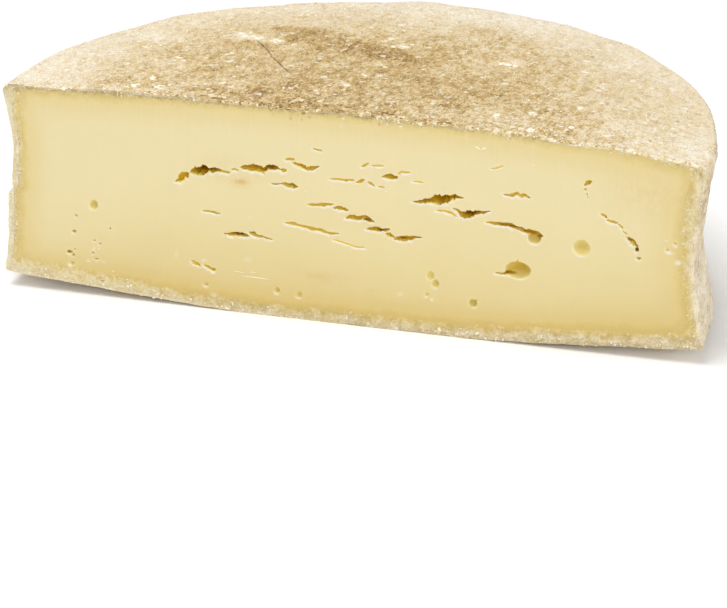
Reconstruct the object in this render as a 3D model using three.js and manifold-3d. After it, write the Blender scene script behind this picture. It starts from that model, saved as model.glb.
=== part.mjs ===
// Half of a pressed and aged cheese wheel, cut straight down through the middle.
//
// The wheel is one lump: a round flat cheese with a slightly domed top, a waist pressed into its
// side by the hoop, and an underside that lifts a little towards the rim.  A knife has halved it,
// and the cut shows the slits and round eyes inside the paste.  Everything is in millimetres, with
// +Z up.  The cut faces -Y, and the origin is the middle of the footprint, on the resting surface.

import * as THREE from 'three';
import Module from 'manifold-3d';
import { mergeVertices } from 'three/addons/utils/BufferGeometryUtils.js';

// ---------------------------------------------------------------- driving dimensions

const WHEEL_RADIUS = 150;        // of the round wheel, before it sagged out of round
const MIDDLE_BEHIND_CUT = 3.3;   // the knife passed this far in front of the true middle
const OVAL = 0.016;              // share of the radius by which the outline is longer front to back
const THREE_SIDED = 0.014;       // share of the radius by which it leans towards the left and back

const MIDDLE_HEIGHT = 92.3;      // thickness in the middle
const TOP_TILT = 0.012;          // the top falls towards +X by this much for each millimetre
const TOP_DOME = 1.6;            // fall of the dome at 100 mm from the middle
const RIM_FALL_RIGHT = 3.2;      // extra fall of the top at the +X end of the rim
const RIM_FALL_ELSEWHERE = 0.5;
const RIM_FALL_START = 0.7;      // share of the radius where the extra fall starts
const RIM_ROUND = 3;             // rounding between top and side
const FOOT_ROUND = 3;            // rounding between side and underside

const FLAT_HALF_WIDTH = 45;      // half width of the flat that the cheese rests on, at the cut
const FLAT_REACH_BACK = 98;      // how far that flat reaches behind the middle
const LIFT_SIDES = 7;            // lift of the underside at the rim, at both ends of the cut
const LIFT_BACK = 4;             // and at the back
const LIFT_POWER = 1.3;

// The waist, as the values at the +X end of the cut and at the -X end; between them it changes
// smoothly round the back.
const WAIST_DEPTH = [4.9, 3.3];
const WAIST_HEIGHT = [43, 62];
const WAIST_ROUND = 6;
const SLOPE_ABOVE_WAIST = [0.15, 0.16];
const SLOPE_BELOW_WAIST = [0.18, 0.05];
const FOOT_FLARE = [0.6, 3.0];
const FOOT_FLARE_HEIGHT = 5;
const HOOP_STEP = [0, 1.8];      // ledge that the lower edge of the hoop left
const HOOP_STEP_HEIGHT = 43.5;
const HOOP_STEP_BLUR = 1.6;

const RELIEF = 0.45;             // height of the dents and swellings of the rind
const RELIEF_WAVES = 14;
const RELIEF_SHORTEST = 16;      // their shortest and longest wavelengths
const RELIEF_LONGEST = 60;
const RELIEF_SEED = 41;

const SECTORS = 168;             // facets round the whole wheel
const UNDER_RINGS = 9;
const SIDE_RINGS = 14;
const TOP_RINGS = 13;
const CORNER_RINGS = 2;
const UNDER_RING_SPACING = 0.8;  // under 1 sets the rings of the underside closer near its rim
const UNDER_RELIEF = 0.4;        // shares of the relief that the underside and the corners take
const CORNER_RELIEF = 0.8;

const HOLLOW_SIDES = 8;
const HOLLOW_OUT = 0.15;         // share of its depth by which a hollow's middle is out of the cut

// Slits in the cut: middle [x, z], length, opening, tilt in degrees, depth.
const SLITS = [
  { at: [-72.8, 57.5], long: 8.5, open: 3.0, tilt: 42, deep: 4 },
  { at: [-64.6, 61.1], long: 9.5, open: 4.2, tilt: 12, deep: 9 },
  { at: [-58.6, 62.2], long: 8.0, open: 1.9, tilt: -3, deep: 7 },
  { at: [-53.4, 61.8], long: 4.6, open: 0.9, tilt: 4, deep: 3 },
  { at: [-42.4, 64.4], long: 12.5, open: 2.6, tilt: 3, deep: 6 },
  { at: [-34.5, 65.7], long: 6.0, open: 2.3, tilt: 0, deep: 9 },
  { at: [-29.7, 65.1], long: 3.8, open: 1.2, tilt: 5, deep: 4 },
  { at: [-22.2, 68.0], long: 7.4, open: 1.7, tilt: -24, deep: 4 },
  { at: [-17.0, 67.3], long: 6.2, open: 1.3, tilt: 14, deep: 4 },
  { at: [-26.8, 58.7], long: 7.2, open: 1.9, tilt: 3, deep: 5 },
  { at: [-60.5, 43.3], long: 7.6, open: 1.0, tilt: -4, deep: 2 },
  { at: [-49.7, 34.8], long: 11.0, open: 1.9, tilt: 5, deep: 8 },
  { at: [-41.4, 35.5], long: 6.6, open: 1.3, tilt: -16, deep: 7 },
  { at: [-3.6, 63.7], long: 10.0, open: 0.9, tilt: 2, deep: 3 },
  { at: [3.4, 64.0], long: 4.4, open: 1.2, tilt: 28, deep: 3 },
  { at: [16.4, 67.1], long: 5.4, open: 2.4, tilt: 8, deep: 4 },
  { at: [-13.4, 51.8], long: 11.4, open: 1.3, tilt: 6, deep: 4 },
  { at: [-4.8, 51.0], long: 6.6, open: 1.7, tilt: 2, deep: 6 },
  { at: [0.9, 47.6], long: 7.6, open: 2.0, tilt: 3, deep: 5 },
  { at: [6.2, 47.5], long: 5.8, open: 2.1, tilt: -18, deep: 9 },
  { at: [10.6, 43.5], long: 8.6, open: 2.0, tilt: 4, deep: 8 },
  { at: [20.6, 41.2], long: 10.0, open: 2.0, tilt: 5, deep: 6 },
  { at: [-23.6, 41.8], long: 9.6, open: 1.2, tilt: -6, deep: 4 },
  { at: [-12.4, 40.2], long: 13.0, open: 1.2, tilt: -9, deep: 4 },
  { at: [31.4, 58.5], long: 12.0, open: 2.0, tilt: 12, deep: 6 },
  { at: [37.0, 59.6], long: 8.6, open: 4.6, tilt: 14, deep: 9 },
  { at: [42.4, 61.3], long: 8.2, open: 2.0, tilt: 0, deep: 6 },
  { at: [48.2, 54.5], long: 7.0, open: 3.4, tilt: 28, deep: 8 },
  { at: [52.6, 56.0], long: 7.0, open: 1.4, tilt: 12, deep: 6 },
  { at: [62.4, 51.6], long: 12.6, open: 1.5, tilt: 3, deep: 6 },
  { at: [71.2, 50.5], long: 9.4, open: 1.5, tilt: -20, deep: 8 },
  { at: [68.4, 65.0], long: 10.0, open: 1.3, tilt: 2, deep: 3 },
  { at: [66.4, 31.0], long: 8.6, open: 1.6, tilt: 10, deep: 10 },
  { at: [97.4, 73.3], long: 3.8, open: 1.3, tilt: 35, deep: 3 },
  { at: [107.6, 58.2], long: 9.6, open: 1.0, tilt: -16, deep: 3 },
  { at: [116.3, 50.2], long: 6.6, open: 1.6, tilt: -36, deep: 4 },
  { at: [-67.8, 19.7], long: 4.2, open: 1.5, tilt: -28, deep: 2 },
  { at: [-61.4, 18.2], long: 5.0, open: 1.6, tilt: -12, deep: 2 },
];

// Round eyes in the cut: middle [x, z], half width, half height, depth.
const EYES = [
  { at: [76.0, 47.7], half: [2.8, 2.9], deep: 4.5 },
  { at: [69.4, 32.8], half: [5.6, 4.0], deep: 5 },
  { at: [95.4, 45.4], half: [3.5, 3.5], deep: 2.6 },
  { at: [118.0, 47.2], half: [1.1, 1.6], deep: 5 },
  { at: [-111.8, 40.7], half: [1.8, 2.3], deep: 2.2 },
  { at: [-32.5, 11.8], half: [1.2, 1.5], deep: 3 },
  { at: [-23.0, 11.0], half: [1.2, 1.5], deep: 2.6 },
  { at: [32.8, 26.0], half: [1.6, 2.2], deep: 2.2 },
  { at: [35.0, 22.7], half: [1.5, 1.9], deep: 2.8 },
  { at: [31.4, 17.6], half: [0.8, 1.0], deep: 2 },
  { at: [50.8, 15.9], half: [1.7, 1.9], deep: 3.4 },
  { at: [-123.0, 18.5], half: [1.1, 0.9], deep: 2.4 },
  { at: [-120.8, 28.0], half: [0.8, 0.8], deep: 1.8 },
];

// ---------------------------------------------------------------- small helpers

function seededRandom(seed) {
  let state = seed;
  return () => {
    state = (state * 1664525 + 1013904223) % 4294967296;
    return state / 4294967296;
  };
}

function easeBetween(low, high, value) {
  return THREE.MathUtils.smoothstep(value, low, high);
}

// A value between the one at the +X end (angle 0) and the one at the -X end (angle 180 degrees).
function roundTheBack([atRight, atLeft], angle) {
  return THREE.MathUtils.lerp(atRight, atLeft, (1 - Math.cos(angle)) / 2);
}

// Waves of seeded length, direction and phase, which together make the slow dents of the rind.
const random = seededRandom(RELIEF_SEED);
const waves = Array.from({ length: RELIEF_WAVES }, () => {
  const wavelength = THREE.MathUtils.lerp(RELIEF_SHORTEST, RELIEF_LONGEST, random());
  const turn = random() * 2 * Math.PI;
  const height = random() * 2 - 1;
  const flat = Math.sqrt(1 - height * height);
  const direction = new THREE.Vector3(flat * Math.cos(turn), flat * Math.sin(turn), height);
  return { along: direction.multiplyScalar(2 * Math.PI / wavelength), phase: random() * 2 * Math.PI };
});

function reliefAt(point) {
  let sum = 0;
  for (const { along, phase } of waves) {
    sum += Math.sin(along.dot(point) + phase);
  }
  return RELIEF * sum / Math.sqrt(RELIEF_WAVES);
}

// ---------------------------------------------------------------- form of the wheel

function outlineRadius(angle) {
  const oval = OVAL * Math.cos(2 * angle);
  const leaning = THREE_SIDED * Math.cos(3 * angle);
  return WHEEL_RADIUS * (1 - oval - leaning);
}

function topHeight(radius, angle) {
  const x = radius * Math.cos(angle);
  const rightness = Math.max(0, Math.cos(angle)) ** 2;
  const rimFall = THREE.MathUtils.lerp(RIM_FALL_ELSEWHERE, RIM_FALL_RIGHT, rightness);
  const nearRim = easeBetween(RIM_FALL_START, 1, radius / outlineRadius(angle));
  return MIDDLE_HEIGHT - TOP_TILT * x - TOP_DOME * (radius / 100) ** 2 - rimFall * nearRim;
}

function undersideHeight(radius, angle) {
  const back = Math.sin(angle) ** 2;
  const flat = THREE.MathUtils.lerp(FLAT_HALF_WIDTH, FLAT_REACH_BACK, back);
  const lift = THREE.MathUtils.lerp(LIFT_SIDES, LIFT_BACK, back);
  const past = Math.max(0, radius - flat) / (outlineRadius(angle) - flat);
  return lift * past ** LIFT_POWER;
}

// How far the side stands out from the outline radius at a height: a waist, a ledge and a flare.
function sideOffset(height, angle) {
  const fromWaist = height - roundTheBack(WAIST_HEIGHT, angle);
  const slope = roundTheBack(fromWaist > 0 ? SLOPE_ABOVE_WAIST : SLOPE_BELOW_WAIST, angle);
  const waist = slope * (Math.hypot(fromWaist, WAIST_ROUND) - WAIST_ROUND);
  const aboveHoop = easeBetween(-HOOP_STEP_BLUR, HOOP_STEP_BLUR, height - HOOP_STEP_HEIGHT);
  const ledge = roundTheBack(HOOP_STEP, angle) * (1 - aboveHoop);
  const flare = roundTheBack(FOOT_FLARE, angle) * Math.exp(-(height - LIFT_SIDES) / FOOT_FLARE_HEIGHT);
  return waist + ledge + flare - roundTheBack(WAIST_DEPTH, angle);
}

// The profile in one direction from the middle, from the underside's middle round to the top's.
// Each point has its place, the way its surface faces, and how much of the dents it takes.
function profileAt(angle) {
  const outline = outlineRadius(angle);
  const points = [];

  const footTop = undersideHeight(outline, angle) + FOOT_ROUND;
  const footRadius = outline + sideOffset(footTop, angle) - FOOT_ROUND;
  for (let i = 0; i <= UNDER_RINGS; i += 1) {
    const radius = footRadius * (i / UNDER_RINGS) ** UNDER_RING_SPACING;
    const height = undersideHeight(radius, angle);
    points.push({ radius, height, out: 0, up: -1, relief: UNDER_RELIEF * Math.min(1, height / LIFT_BACK) });
  }
  const footLow = undersideHeight(footRadius, angle);
  for (let i = 1; i <= CORNER_RINGS; i += 1) {
    const turn = (i / (CORNER_RINGS + 1)) * Math.PI / 2;
    const out = Math.sin(turn);
    const up = -Math.cos(turn);
    const height = footLow + (footTop - footLow) * (1 + up);
    points.push({ radius: footRadius + FOOT_ROUND * out, height, out, up, relief: CORNER_RELIEF });
  }

  const rimInner = outline - RIM_ROUND;
  const rimLow = topHeight(rimInner, angle) - RIM_ROUND;
  for (let i = 0; i <= SIDE_RINGS; i += 1) {
    const height = THREE.MathUtils.lerp(footTop, rimLow, i / SIDE_RINGS);
    points.push({ radius: outline + sideOffset(height, angle), height, out: 1, up: 0, relief: 1 });
  }
  const rimOuter = outline + sideOffset(rimLow, angle);
  for (let i = 1; i <= CORNER_RINGS; i += 1) {
    const turn = (i / (CORNER_RINGS + 1)) * Math.PI / 2;
    const out = Math.cos(turn);
    const up = Math.sin(turn);
    const radius = rimInner + (rimOuter - rimInner) * out;
    points.push({ radius, height: rimLow + RIM_ROUND * up, out, up, relief: CORNER_RELIEF });
  }
  for (let i = 0; i <= TOP_RINGS; i += 1) {
    const radius = rimInner * (1 - i / TOP_RINGS);
    points.push({ radius, height: topHeight(radius, angle), out: 0, up: 1, relief: i < TOP_RINGS ? 1 : 0 });
  }
  return points;
}

// The whole wheel: the profile carried round the middle, ring by ring.
function wheelGeometry() {
  const angles = Array.from({ length: SECTORS }, (_, sector) => (sector + 0.5) / SECTORS * 2 * Math.PI);
  const profiles = angles.map(profileAt);
  const rings = profiles[0].length;
  const positions = [];
  const point = new THREE.Vector3();
  for (let ring = 0; ring < rings; ring += 1) {
    for (let sector = 0; sector < SECTORS; sector += 1) {
      const across = Math.cos(angles[sector]);
      const back = Math.sin(angles[sector]);
      const { radius, height, out, up, relief } = profiles[sector][ring];
      point.set(radius * across, radius * back, height);
      const dent = relief * reliefAt(point);
      const reach = radius + dent * out;
      positions.push(reach * across, MIDDLE_BEHIND_CUT + reach * back, height + dent * up);
    }
  }
  const faces = [];
  for (let ring = 0; ring < rings - 1; ring += 1) {
    for (let sector = 0; sector < SECTORS; sector += 1) {
      const next = (sector + 1) % SECTORS;
      const below = [ring * SECTORS + sector, ring * SECTORS + next];
      const above = [below[0] + SECTORS, below[1] + SECTORS];
      if (ring > 0) {
        faces.push(below[0], below[1], above[1]);
      }
      if (ring < rings - 2) {
        faces.push(below[0], above[1], above[0]);
      }
    }
  }
  const geometry = new THREE.BufferGeometry();
  geometry.setAttribute('position', new THREE.Float32BufferAttribute(positions, 3));
  geometry.setIndex(faces);
  return geometry;
}

// ---------------------------------------------------------------- cutting and hollows

const wasm = await Module();
wasm.setup();

function solidFrom(geometry) {
  const bare = geometry.clone();
  bare.deleteAttribute('normal');
  bare.deleteAttribute('uv');
  const merged = mergeVertices(bare);
  const mesh = new wasm.Mesh({
    numProp: 3,
    vertProperties: new Float32Array(merged.attributes.position.array),
    triVerts: new Uint32Array(merged.index.array),
  });
  return new wasm.Manifold(mesh);
}

function geometryFrom(solid) {
  const { vertProperties, triVerts } = solid.getMesh();
  const geometry = new THREE.BufferGeometry();
  geometry.setAttribute('position', new THREE.Float32BufferAttribute(vertProperties, 3));
  geometry.setIndex(Array.from(triVerts));
  return geometry;
}

// Everything in front of the knife's plane, which is at y = 0.
function frontHalfSpace() {
  const size = 4 * WHEEL_RADIUS;
  return solidFrom(new THREE.BoxGeometry(size, size, size).translate(0, -size / 2, 0));
}

// A hollow in the cut: a ball stretched to the slit's or eye's size, its middle a little in front
// of the knife's plane, so that the hollow narrows from its mouth inwards.
function hollow([x, z], halfWidth, halfHeight, deep, tilt = 0) {
  const ball = new THREE.SphereGeometry(1, HOLLOW_SIDES, HOLLOW_SIDES - 2);
  ball.scale(halfWidth, deep, halfHeight);
  ball.rotateY(-THREE.MathUtils.degToRad(tilt));
  ball.translate(x, -HOLLOW_OUT * deep, z);
  return solidFrom(ball);
}

function allHollows() {
  const slits = SLITS.map(({ at, long, open, tilt, deep }) => hollow(at, long / 2, open / 2, deep, tilt));
  const eyes = EYES.map(({ at, half, deep }) => hollow(at, half[0], half[1], deep));
  return [...slits, ...eyes].reduce((joined, next) => joined.add(next));
}

const half = solidFrom(wheelGeometry()).subtract(frontHalfSpace()).subtract(allHollows());

// ---------------------------------------------------------------- the finished piece

const shape = geometryFrom(half);
shape.computeBoundingBox();
const middle = shape.boundingBox.getCenter(new THREE.Vector3());
shape.translate(-middle.x, -middle.y, -shape.boundingBox.min.z);
shape.computeVertexNormals();

const rind = new THREE.MeshStandardMaterial({ color: '#dcc9a0', roughness: 0.8, metalness: 0 });
const cheese = new THREE.Mesh(shape, rind);
cheese.name = 'cheese';

const part = new THREE.Group();
part.add(cheese);

export default part;
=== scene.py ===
# %% [markdown]
# # Half a mountain cheese wheel
#
# A pressed wheel has been cut in two. The half lies on its flat underside with the cut towards us.
# Three things meet the eye: the smooth cream-yellow paste with its slits and round eyes, the dry
# mottled rind round it, and the loose bits of rind. These are crumbs that the knife broke off along
# the edges, flat flakes, and fine meal all over the top. The paste, the rind and each kind of loose
# bit become one piece here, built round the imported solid, which gives place and size.

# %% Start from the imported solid
import math
import random

import bpy
import numpy as np
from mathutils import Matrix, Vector, noise
from mathutils.bvhtree import BVHTree
from mathutils.kdtree import KDTree


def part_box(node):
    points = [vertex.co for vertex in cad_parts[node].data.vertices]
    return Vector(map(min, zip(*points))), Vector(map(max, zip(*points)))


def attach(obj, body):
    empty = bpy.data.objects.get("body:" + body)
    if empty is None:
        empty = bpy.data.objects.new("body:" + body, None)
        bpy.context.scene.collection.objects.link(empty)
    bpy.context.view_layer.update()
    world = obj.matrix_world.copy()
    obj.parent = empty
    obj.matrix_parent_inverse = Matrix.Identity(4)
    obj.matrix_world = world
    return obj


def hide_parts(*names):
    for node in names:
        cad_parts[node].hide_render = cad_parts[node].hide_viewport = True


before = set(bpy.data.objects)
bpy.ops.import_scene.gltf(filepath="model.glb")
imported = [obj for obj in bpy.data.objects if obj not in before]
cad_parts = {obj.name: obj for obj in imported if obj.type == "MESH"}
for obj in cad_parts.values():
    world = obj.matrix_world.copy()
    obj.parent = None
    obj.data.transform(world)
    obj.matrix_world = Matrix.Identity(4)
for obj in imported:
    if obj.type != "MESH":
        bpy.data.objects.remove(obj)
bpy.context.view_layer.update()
cad_low, cad_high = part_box("cheese")

MM = 0.001                   # all sizes below are millimetres, and Blender counts in metres
CRUMB_ROOM = 0.45            # the cut lies this far behind the solid's, so that crumbs fit in its box
CUT = cad_low.y / MM + CRUMB_ROOM
cad_size = [round(v / MM, 1) for v in cad_high - cad_low]
print("the solid measures", cad_size, "mm; the cut is at y", round(CUT, 2))

# %% [markdown]
# ## Small tools
#
# Nearly every step below selects something, moves vertices or applies a modifier. In the window
# that is a click or a key. In a script it is a short function, written once. Everything is
# deselected first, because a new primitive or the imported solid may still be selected.

# %% Helpers for selecting, editing and applying


def only(piece):
    """Makes one object the selected and active one."""
    if bpy.context.object and bpy.context.object.mode != "OBJECT":
        bpy.ops.object.mode_set(mode="OBJECT")
    bpy.ops.object.select_all(action="DESELECT")
    piece.select_set(True)
    bpy.context.view_layer.objects.active = piece


def newest(name):
    """Names the primitive that was just added, and puts its place and size into its mesh."""
    piece = bpy.context.object
    piece.name = name
    piece.data.name = name
    only(piece)
    bpy.ops.object.transform_apply(location=True, rotation=True, scale=True)
    return piece


def vertices(piece):
    """The vertices as rows of x, y, z in millimetres."""
    flat = np.empty(len(piece.data.vertices) * 3)
    piece.data.vertices.foreach_get("co", flat)
    return flat.reshape(-1, 3) / MM


def move_vertices(piece, points):
    piece.data.vertices.foreach_set("co", (points * MM).ravel())
    piece.data.update()


def vertex_normals(piece):
    flat = np.empty(len(piece.data.vertices) * 3)
    piece.data.vertex_normals.foreach_get("vector", flat)
    return flat.reshape(-1, 3)


def face_values(piece, what):
    """The faces' centres in millimetres, or their normals."""
    flat = np.empty(len(piece.data.polygons) * 3)
    piece.data.polygons.foreach_get(what, flat)
    return flat.reshape(-1, 3) / (MM if what == "center" else 1)


def select_faces(piece, chosen):
    """Opens edit mode with just these faces selected."""
    only(piece)
    bpy.ops.object.mode_set(mode="EDIT")
    bpy.ops.mesh.select_mode(type="FACE")
    bpy.ops.mesh.select_all(action="DESELECT")
    bpy.ops.object.mode_set(mode="OBJECT")
    piece.data.polygons.foreach_set("select", chosen)
    bpy.ops.object.mode_set(mode="EDIT")


def close_edit():
    bpy.ops.object.mode_set(mode="OBJECT")


def refine(piece, chosen, cuts):
    select_faces(piece, chosen)
    bpy.ops.mesh.subdivide(number_cuts=cuts)
    close_edit()


def bisect_behind(piece, y):
    """Cuts the piece straight down at y and keeps what is behind, closed with a new face."""
    only(piece)
    bpy.ops.object.mode_set(mode="EDIT")
    bpy.ops.mesh.select_all(action="SELECT")
    bpy.ops.mesh.bisect(plane_co=(0, y * MM, 0), plane_no=(0, 1, 0), use_fill=True, clear_inner=True)
    close_edit()


def apply_modifier(piece, kind, **settings):
    only(piece)
    modifier = piece.modifiers.new(kind.title(), kind)
    for key, value in settings.items():
        setattr(modifier, key, value)
    bpy.ops.object.modifier_apply(modifier=modifier.name)


def displace(piece, grain, height):
    """Raises and lowers the surface by soft noise of one grain size."""
    clouds = bpy.data.textures.new("relief clouds", "CLOUDS")
    clouds.noise_scale = grain * MM
    apply_modifier(piece, "DISPLACE", texture=clouds, strength=height * MM, texture_coords="LOCAL")


def boolean(piece, other, operation):
    apply_modifier(piece, "BOOLEAN", object=other, operation=operation, solver="MANIFOLD")


def remove(piece):
    bpy.data.objects.remove(piece, do_unlink=True)


FRONT_WIDTH, FRONT_DEPTH, FRONT_HEIGHT = 400, 200, 300   # a block that covers all in front of the cut


def cut_behind(piece, y):
    """Takes away everything in front of y, also where the surface is too crumpled for a bisect."""
    bpy.ops.mesh.primitive_cube_add(
        size=1, location=(0, (y - FRONT_DEPTH / 2) * MM, 50 * MM),
        scale=(FRONT_WIDTH * MM, FRONT_DEPTH * MM, FRONT_HEIGHT * MM))
    front = newest("front")
    boolean(piece, front, "DIFFERENCE")
    remove(front)


def triangles(piece):
    return sum(len(face.vertices) - 2 for face in piece.data.polygons)


def between(low, high, value):
    """0 at low, 1 at high, with a smooth rise from one to the other, and flat outside them."""
    share = np.clip((value - low) / (high - low), 0, 1)
    return share * share * (3 - 2 * share)


print("helpers are ready; the solid stays selected until a helper needs another piece")


# %% [markdown]
# ## The form of the wheel
#
# The real wheel was pressed in a hoop and then sagged while it ripened: the outline isn't quite
# round, the top is slightly domed and tilted, the side has a waist and a ledge where the hoop ended,
# and the underside lifts towards the rim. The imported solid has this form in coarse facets.
#
# One could shrinkwrap a fine mesh onto those facets, but they would show through. It is smoother to
# repeat the few formulas, and to let them sag any plain drum into the wheel's form. The same
# function then shapes the rind and the paste, so the two always fit each other.

# %% Form functions, all in millimetres
WHEEL_RADIUS = 150
MIDDLE_HEIGHT = 92.3
MIDDLE = np.array([2.91, cad_low.y / MM + 3.3, 0])   # the wheel's middle in the frame
RIM_ROUND = 3
OVAL, THREE_SIDED = 0.016, 0.014                 # how far from a circle, as shares of the radius
TOP_TILT = 0.012                                 # how far the top falls per millimetre to the right
DOME = 1.6                                       # and all round, 100 mm from the middle
RIM_FALL, RIM_FALL_RIGHT = 0.5, 2.7              # how far it bends down at the rim, and more at the right

# Pairs hold the value at the +X end of the cut and at the -X end.
WAIST_DEPTH = (4.9, 3.3)
WAIST_HEIGHT = (43, 62)
WAIST_ROUND = 6
SLOPE_ABOVE_WAIST = (0.15, 0.16)
SLOPE_BELOW_WAIST = (0.18, 0.05)
FOOT_FLARE = (0.6, 3.0)
HOOP_STEP = (0, 1.8)

FLARE_HEIGHT = 5
HOOP_STEP_HEIGHT = 43.5
HOOP_STEP_ROUND = 1.6
FLAT_SIDES, FLAT_BACK = 45, 98                   # radius of the flat underside, at the sides and the back
LIFT_SIDES, LIFT_BACK = 7, 4                     # how far the underside's edge lifts there


def round_the_back(pair, angle):
    right, left = pair
    return right + (left - right) * (1 - np.cos(angle)) / 2


def outline_radius(angle):
    return WHEEL_RADIUS * (1 - OVAL * np.cos(2 * angle) - THREE_SIDED * np.cos(3 * angle))


def top_height(radius, angle):
    rim_fall = RIM_FALL + RIM_FALL_RIGHT * np.maximum(0, np.cos(angle)) ** 2
    near_rim = between(0.7, 1, radius / outline_radius(angle))
    tilt = TOP_TILT * radius * np.cos(angle)
    return MIDDLE_HEIGHT - tilt - DOME * (radius / 100) ** 2 - rim_fall * near_rim


def underside_height(radius, angle):
    back = np.sin(angle) ** 2
    flat = FLAT_SIDES + (FLAT_BACK - FLAT_SIDES) * back
    lift = LIFT_SIDES + (LIFT_BACK - LIFT_SIDES) * back
    past = np.maximum(0, radius - flat) / (outline_radius(angle) - flat)
    return lift * past ** 1.3


def side_offset(height, angle):
    from_waist = height - round_the_back(WAIST_HEIGHT, angle)
    slope = np.where(from_waist > 0, round_the_back(SLOPE_ABOVE_WAIST, angle),
                     round_the_back(SLOPE_BELOW_WAIST, angle))
    waist = slope * (np.hypot(from_waist, WAIST_ROUND) - WAIST_ROUND)
    above_step = between(-HOOP_STEP_ROUND, HOOP_STEP_ROUND, height - HOOP_STEP_HEIGHT)
    ledge = round_the_back(HOOP_STEP, angle) * (1 - above_step)
    flare = round_the_back(FOOT_FLARE, angle) * np.exp(-(height - LIFT_SIDES) / FLARE_HEIGHT)
    return waist + ledge + flare - round_the_back(WAIST_DEPTH, angle)


def polar(points):
    """Angle, radius and height of each point, seen from the wheel's middle."""
    x, y, z = (points - MIDDLE).T
    return np.arctan2(y, x), np.hypot(x, y), z


def sagged(points):
    """Carries points of a plain drum to their places in the sagged wheel."""
    angle, radius, height = polar(points)
    share = radius / WHEEL_RADIUS
    radius = share * outline_radius(angle)
    low, high = underside_height(radius, angle), top_height(radius, angle)
    height = low + (high - low) * height / MIDDLE_HEIGHT
    radius = radius + side_offset(height, angle) * between(0.85, 0.97, share)
    return MIDDLE + np.column_stack((radius * np.cos(angle), radius * np.sin(angle), height))


# %% Slow dents and swellings, the same as the solid's
RELIEF, RELIEF_WAVES, RELIEF_SEED = 0.45, 14, 41
RELIEF_SHORTEST, RELIEF_LONGEST = 16, 60


def steady_draws(state):
    while True:
        state = (state * 1664525 + 1013904223) % 2 ** 32
        yield state / 2 ** 32


def relief_waves():
    draws = steady_draws(RELIEF_SEED)
    for _ in range(RELIEF_WAVES):
        wavelength = RELIEF_SHORTEST + (RELIEF_LONGEST - RELIEF_SHORTEST) * next(draws)
        turn = next(draws) * 2 * math.pi
        rise = next(draws) * 2 - 1
        flat = math.sqrt(1 - rise * rise)
        way = np.array([flat * math.cos(turn), flat * math.sin(turn), rise])
        yield way * 2 * math.pi / wavelength, next(draws) * 2 * math.pi


WAVES = list(relief_waves())


def relief(points):
    sums = sum(np.sin((points - MIDDLE) @ along + phase) for along, phase in WAVES)
    return RELIEF * sums / math.sqrt(RELIEF_WAVES)


def dented(points, normals):
    """Moves a surface by the slow dents, and only a little where it rests."""
    resting = np.where(normals[:, 2] < -0.5, 0.4 * np.clip(points[:, 2] / LIFT_BACK, 0, 1), 1)
    return points + normals * (relief(points) * resting)[:, None]


def shape_like_wheel(piece):
    move_vertices(piece, sagged(vertices(piece)))
    move_vertices(piece, dented(vertices(piece), vertex_normals(piece)))


rim_radii = [round(float(outline_radius(math.radians(turn))), 1) for turn in (0, 90, 180)]
print("radius at the right, back and left:", rim_radii)


# %% [markdown]
# ## The core
#
# Under the rind lies the paste. Where the rind ends and the paste begins there is no real wall, but
# two pieces need one border. A plain drum, a little smaller than the wheel all round and sagged by
# the same functions, gives it: the rind is everything outside this core, and the paste is the core
# itself. Cutting both with the same mesh leaves neither a gap nor an overlap.

# %% A smaller drum, remeshed and sagged
SKIN_SIDE, SKIN_UNDER, SKIN_TOP = 2.0, 1.6, 0.9  # how far the core is inside the wheel's surface
CORE_CELL = 3.8


def drum(name, radius, low, high, rounding):
    """A beveled cylinder round the wheel's middle; the caller cuts it off some way in front of the knife's
    plane.
    """
    bpy.ops.mesh.primitive_cylinder_add(
        vertices=160, radius=radius * MM, depth=(high - low) * MM,
        location=(MIDDLE[0] * MM, MIDDLE[1] * MM, (low + high) / 2 * MM))
    piece = newest(name)
    select_faces(piece, np.abs(face_values(piece, "normal")[:, 2]) > 0.9)
    bpy.ops.mesh.bevel(offset=rounding * MM, segments=4)
    close_edit()
    return piece


def remesh(piece, cell):
    apply_modifier(piece, "REMESH", mode="VOXEL", voxel_size=cell * MM)


# The remesh rounds the drum's front edge, so more is left in front first, and cut off afterwards.
core = drum("core", WHEEL_RADIUS - SKIN_SIDE, SKIN_UNDER, MIDDLE_HEIGHT - SKIN_TOP, RIM_ROUND)
bisect_behind(core, CUT - 14)
remesh(core, CORE_CELL)
apply_modifier(core, "SMOOTH", factor=0.5, iterations=2)
bisect_behind(core, CUT - 9)
shape_like_wheel(core)
print("core:", triangles(core), "triangles")

# %% [markdown]
# ## The rind
#
# The rind is the dry outside of the cheese: lumpy from the cloth and the hoop, mealy with old mould,
# and pitted. A sculptor would push clay; here a drum is remeshed into even small cells, sagged, and
# then displaced by noise of several sizes, coarse lumps first and fine ones last. What little of it
# passes the solid's box is pressed flat. The voxel remesh is used because a cylinder's own faces are
# long slivers that can't carry fine relief.

# %% The outer skin
RIND_CELL = 1.15
FINE_FRONT, FINE_BACK = 1.9, 2.6                 # in front of and behind the cut, where the cells are halved

rind = drum("rind", WHEEL_RADIUS, 0, MIDDLE_HEIGHT, RIM_ROUND)
bisect_behind(rind, CUT - 5)
remesh(rind, RIND_CELL)
apply_modifier(rind, "SMOOTH", factor=0.5, iterations=3)
bisect_behind(rind, CUT - 2)
depths = face_values(rind, "center")[:, 1]
refine(rind, (depths > CUT - FINE_FRONT) & (depths < CUT + FINE_BACK), 1)
shape_like_wheel(rind)
print("outer skin:", triangles(rind), "triangles")

# %% Hoop bands, folds and a worn edge
FOLDS_FROM, FOLDS_TO = -40, 25                   # degrees round the side where the cloth's folds stood


def wave(x, y, z, grain):
    """Soft noise between -1 and 1 with that grain."""
    return noise.noise(Vector((x, y, z)) / grain)


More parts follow.
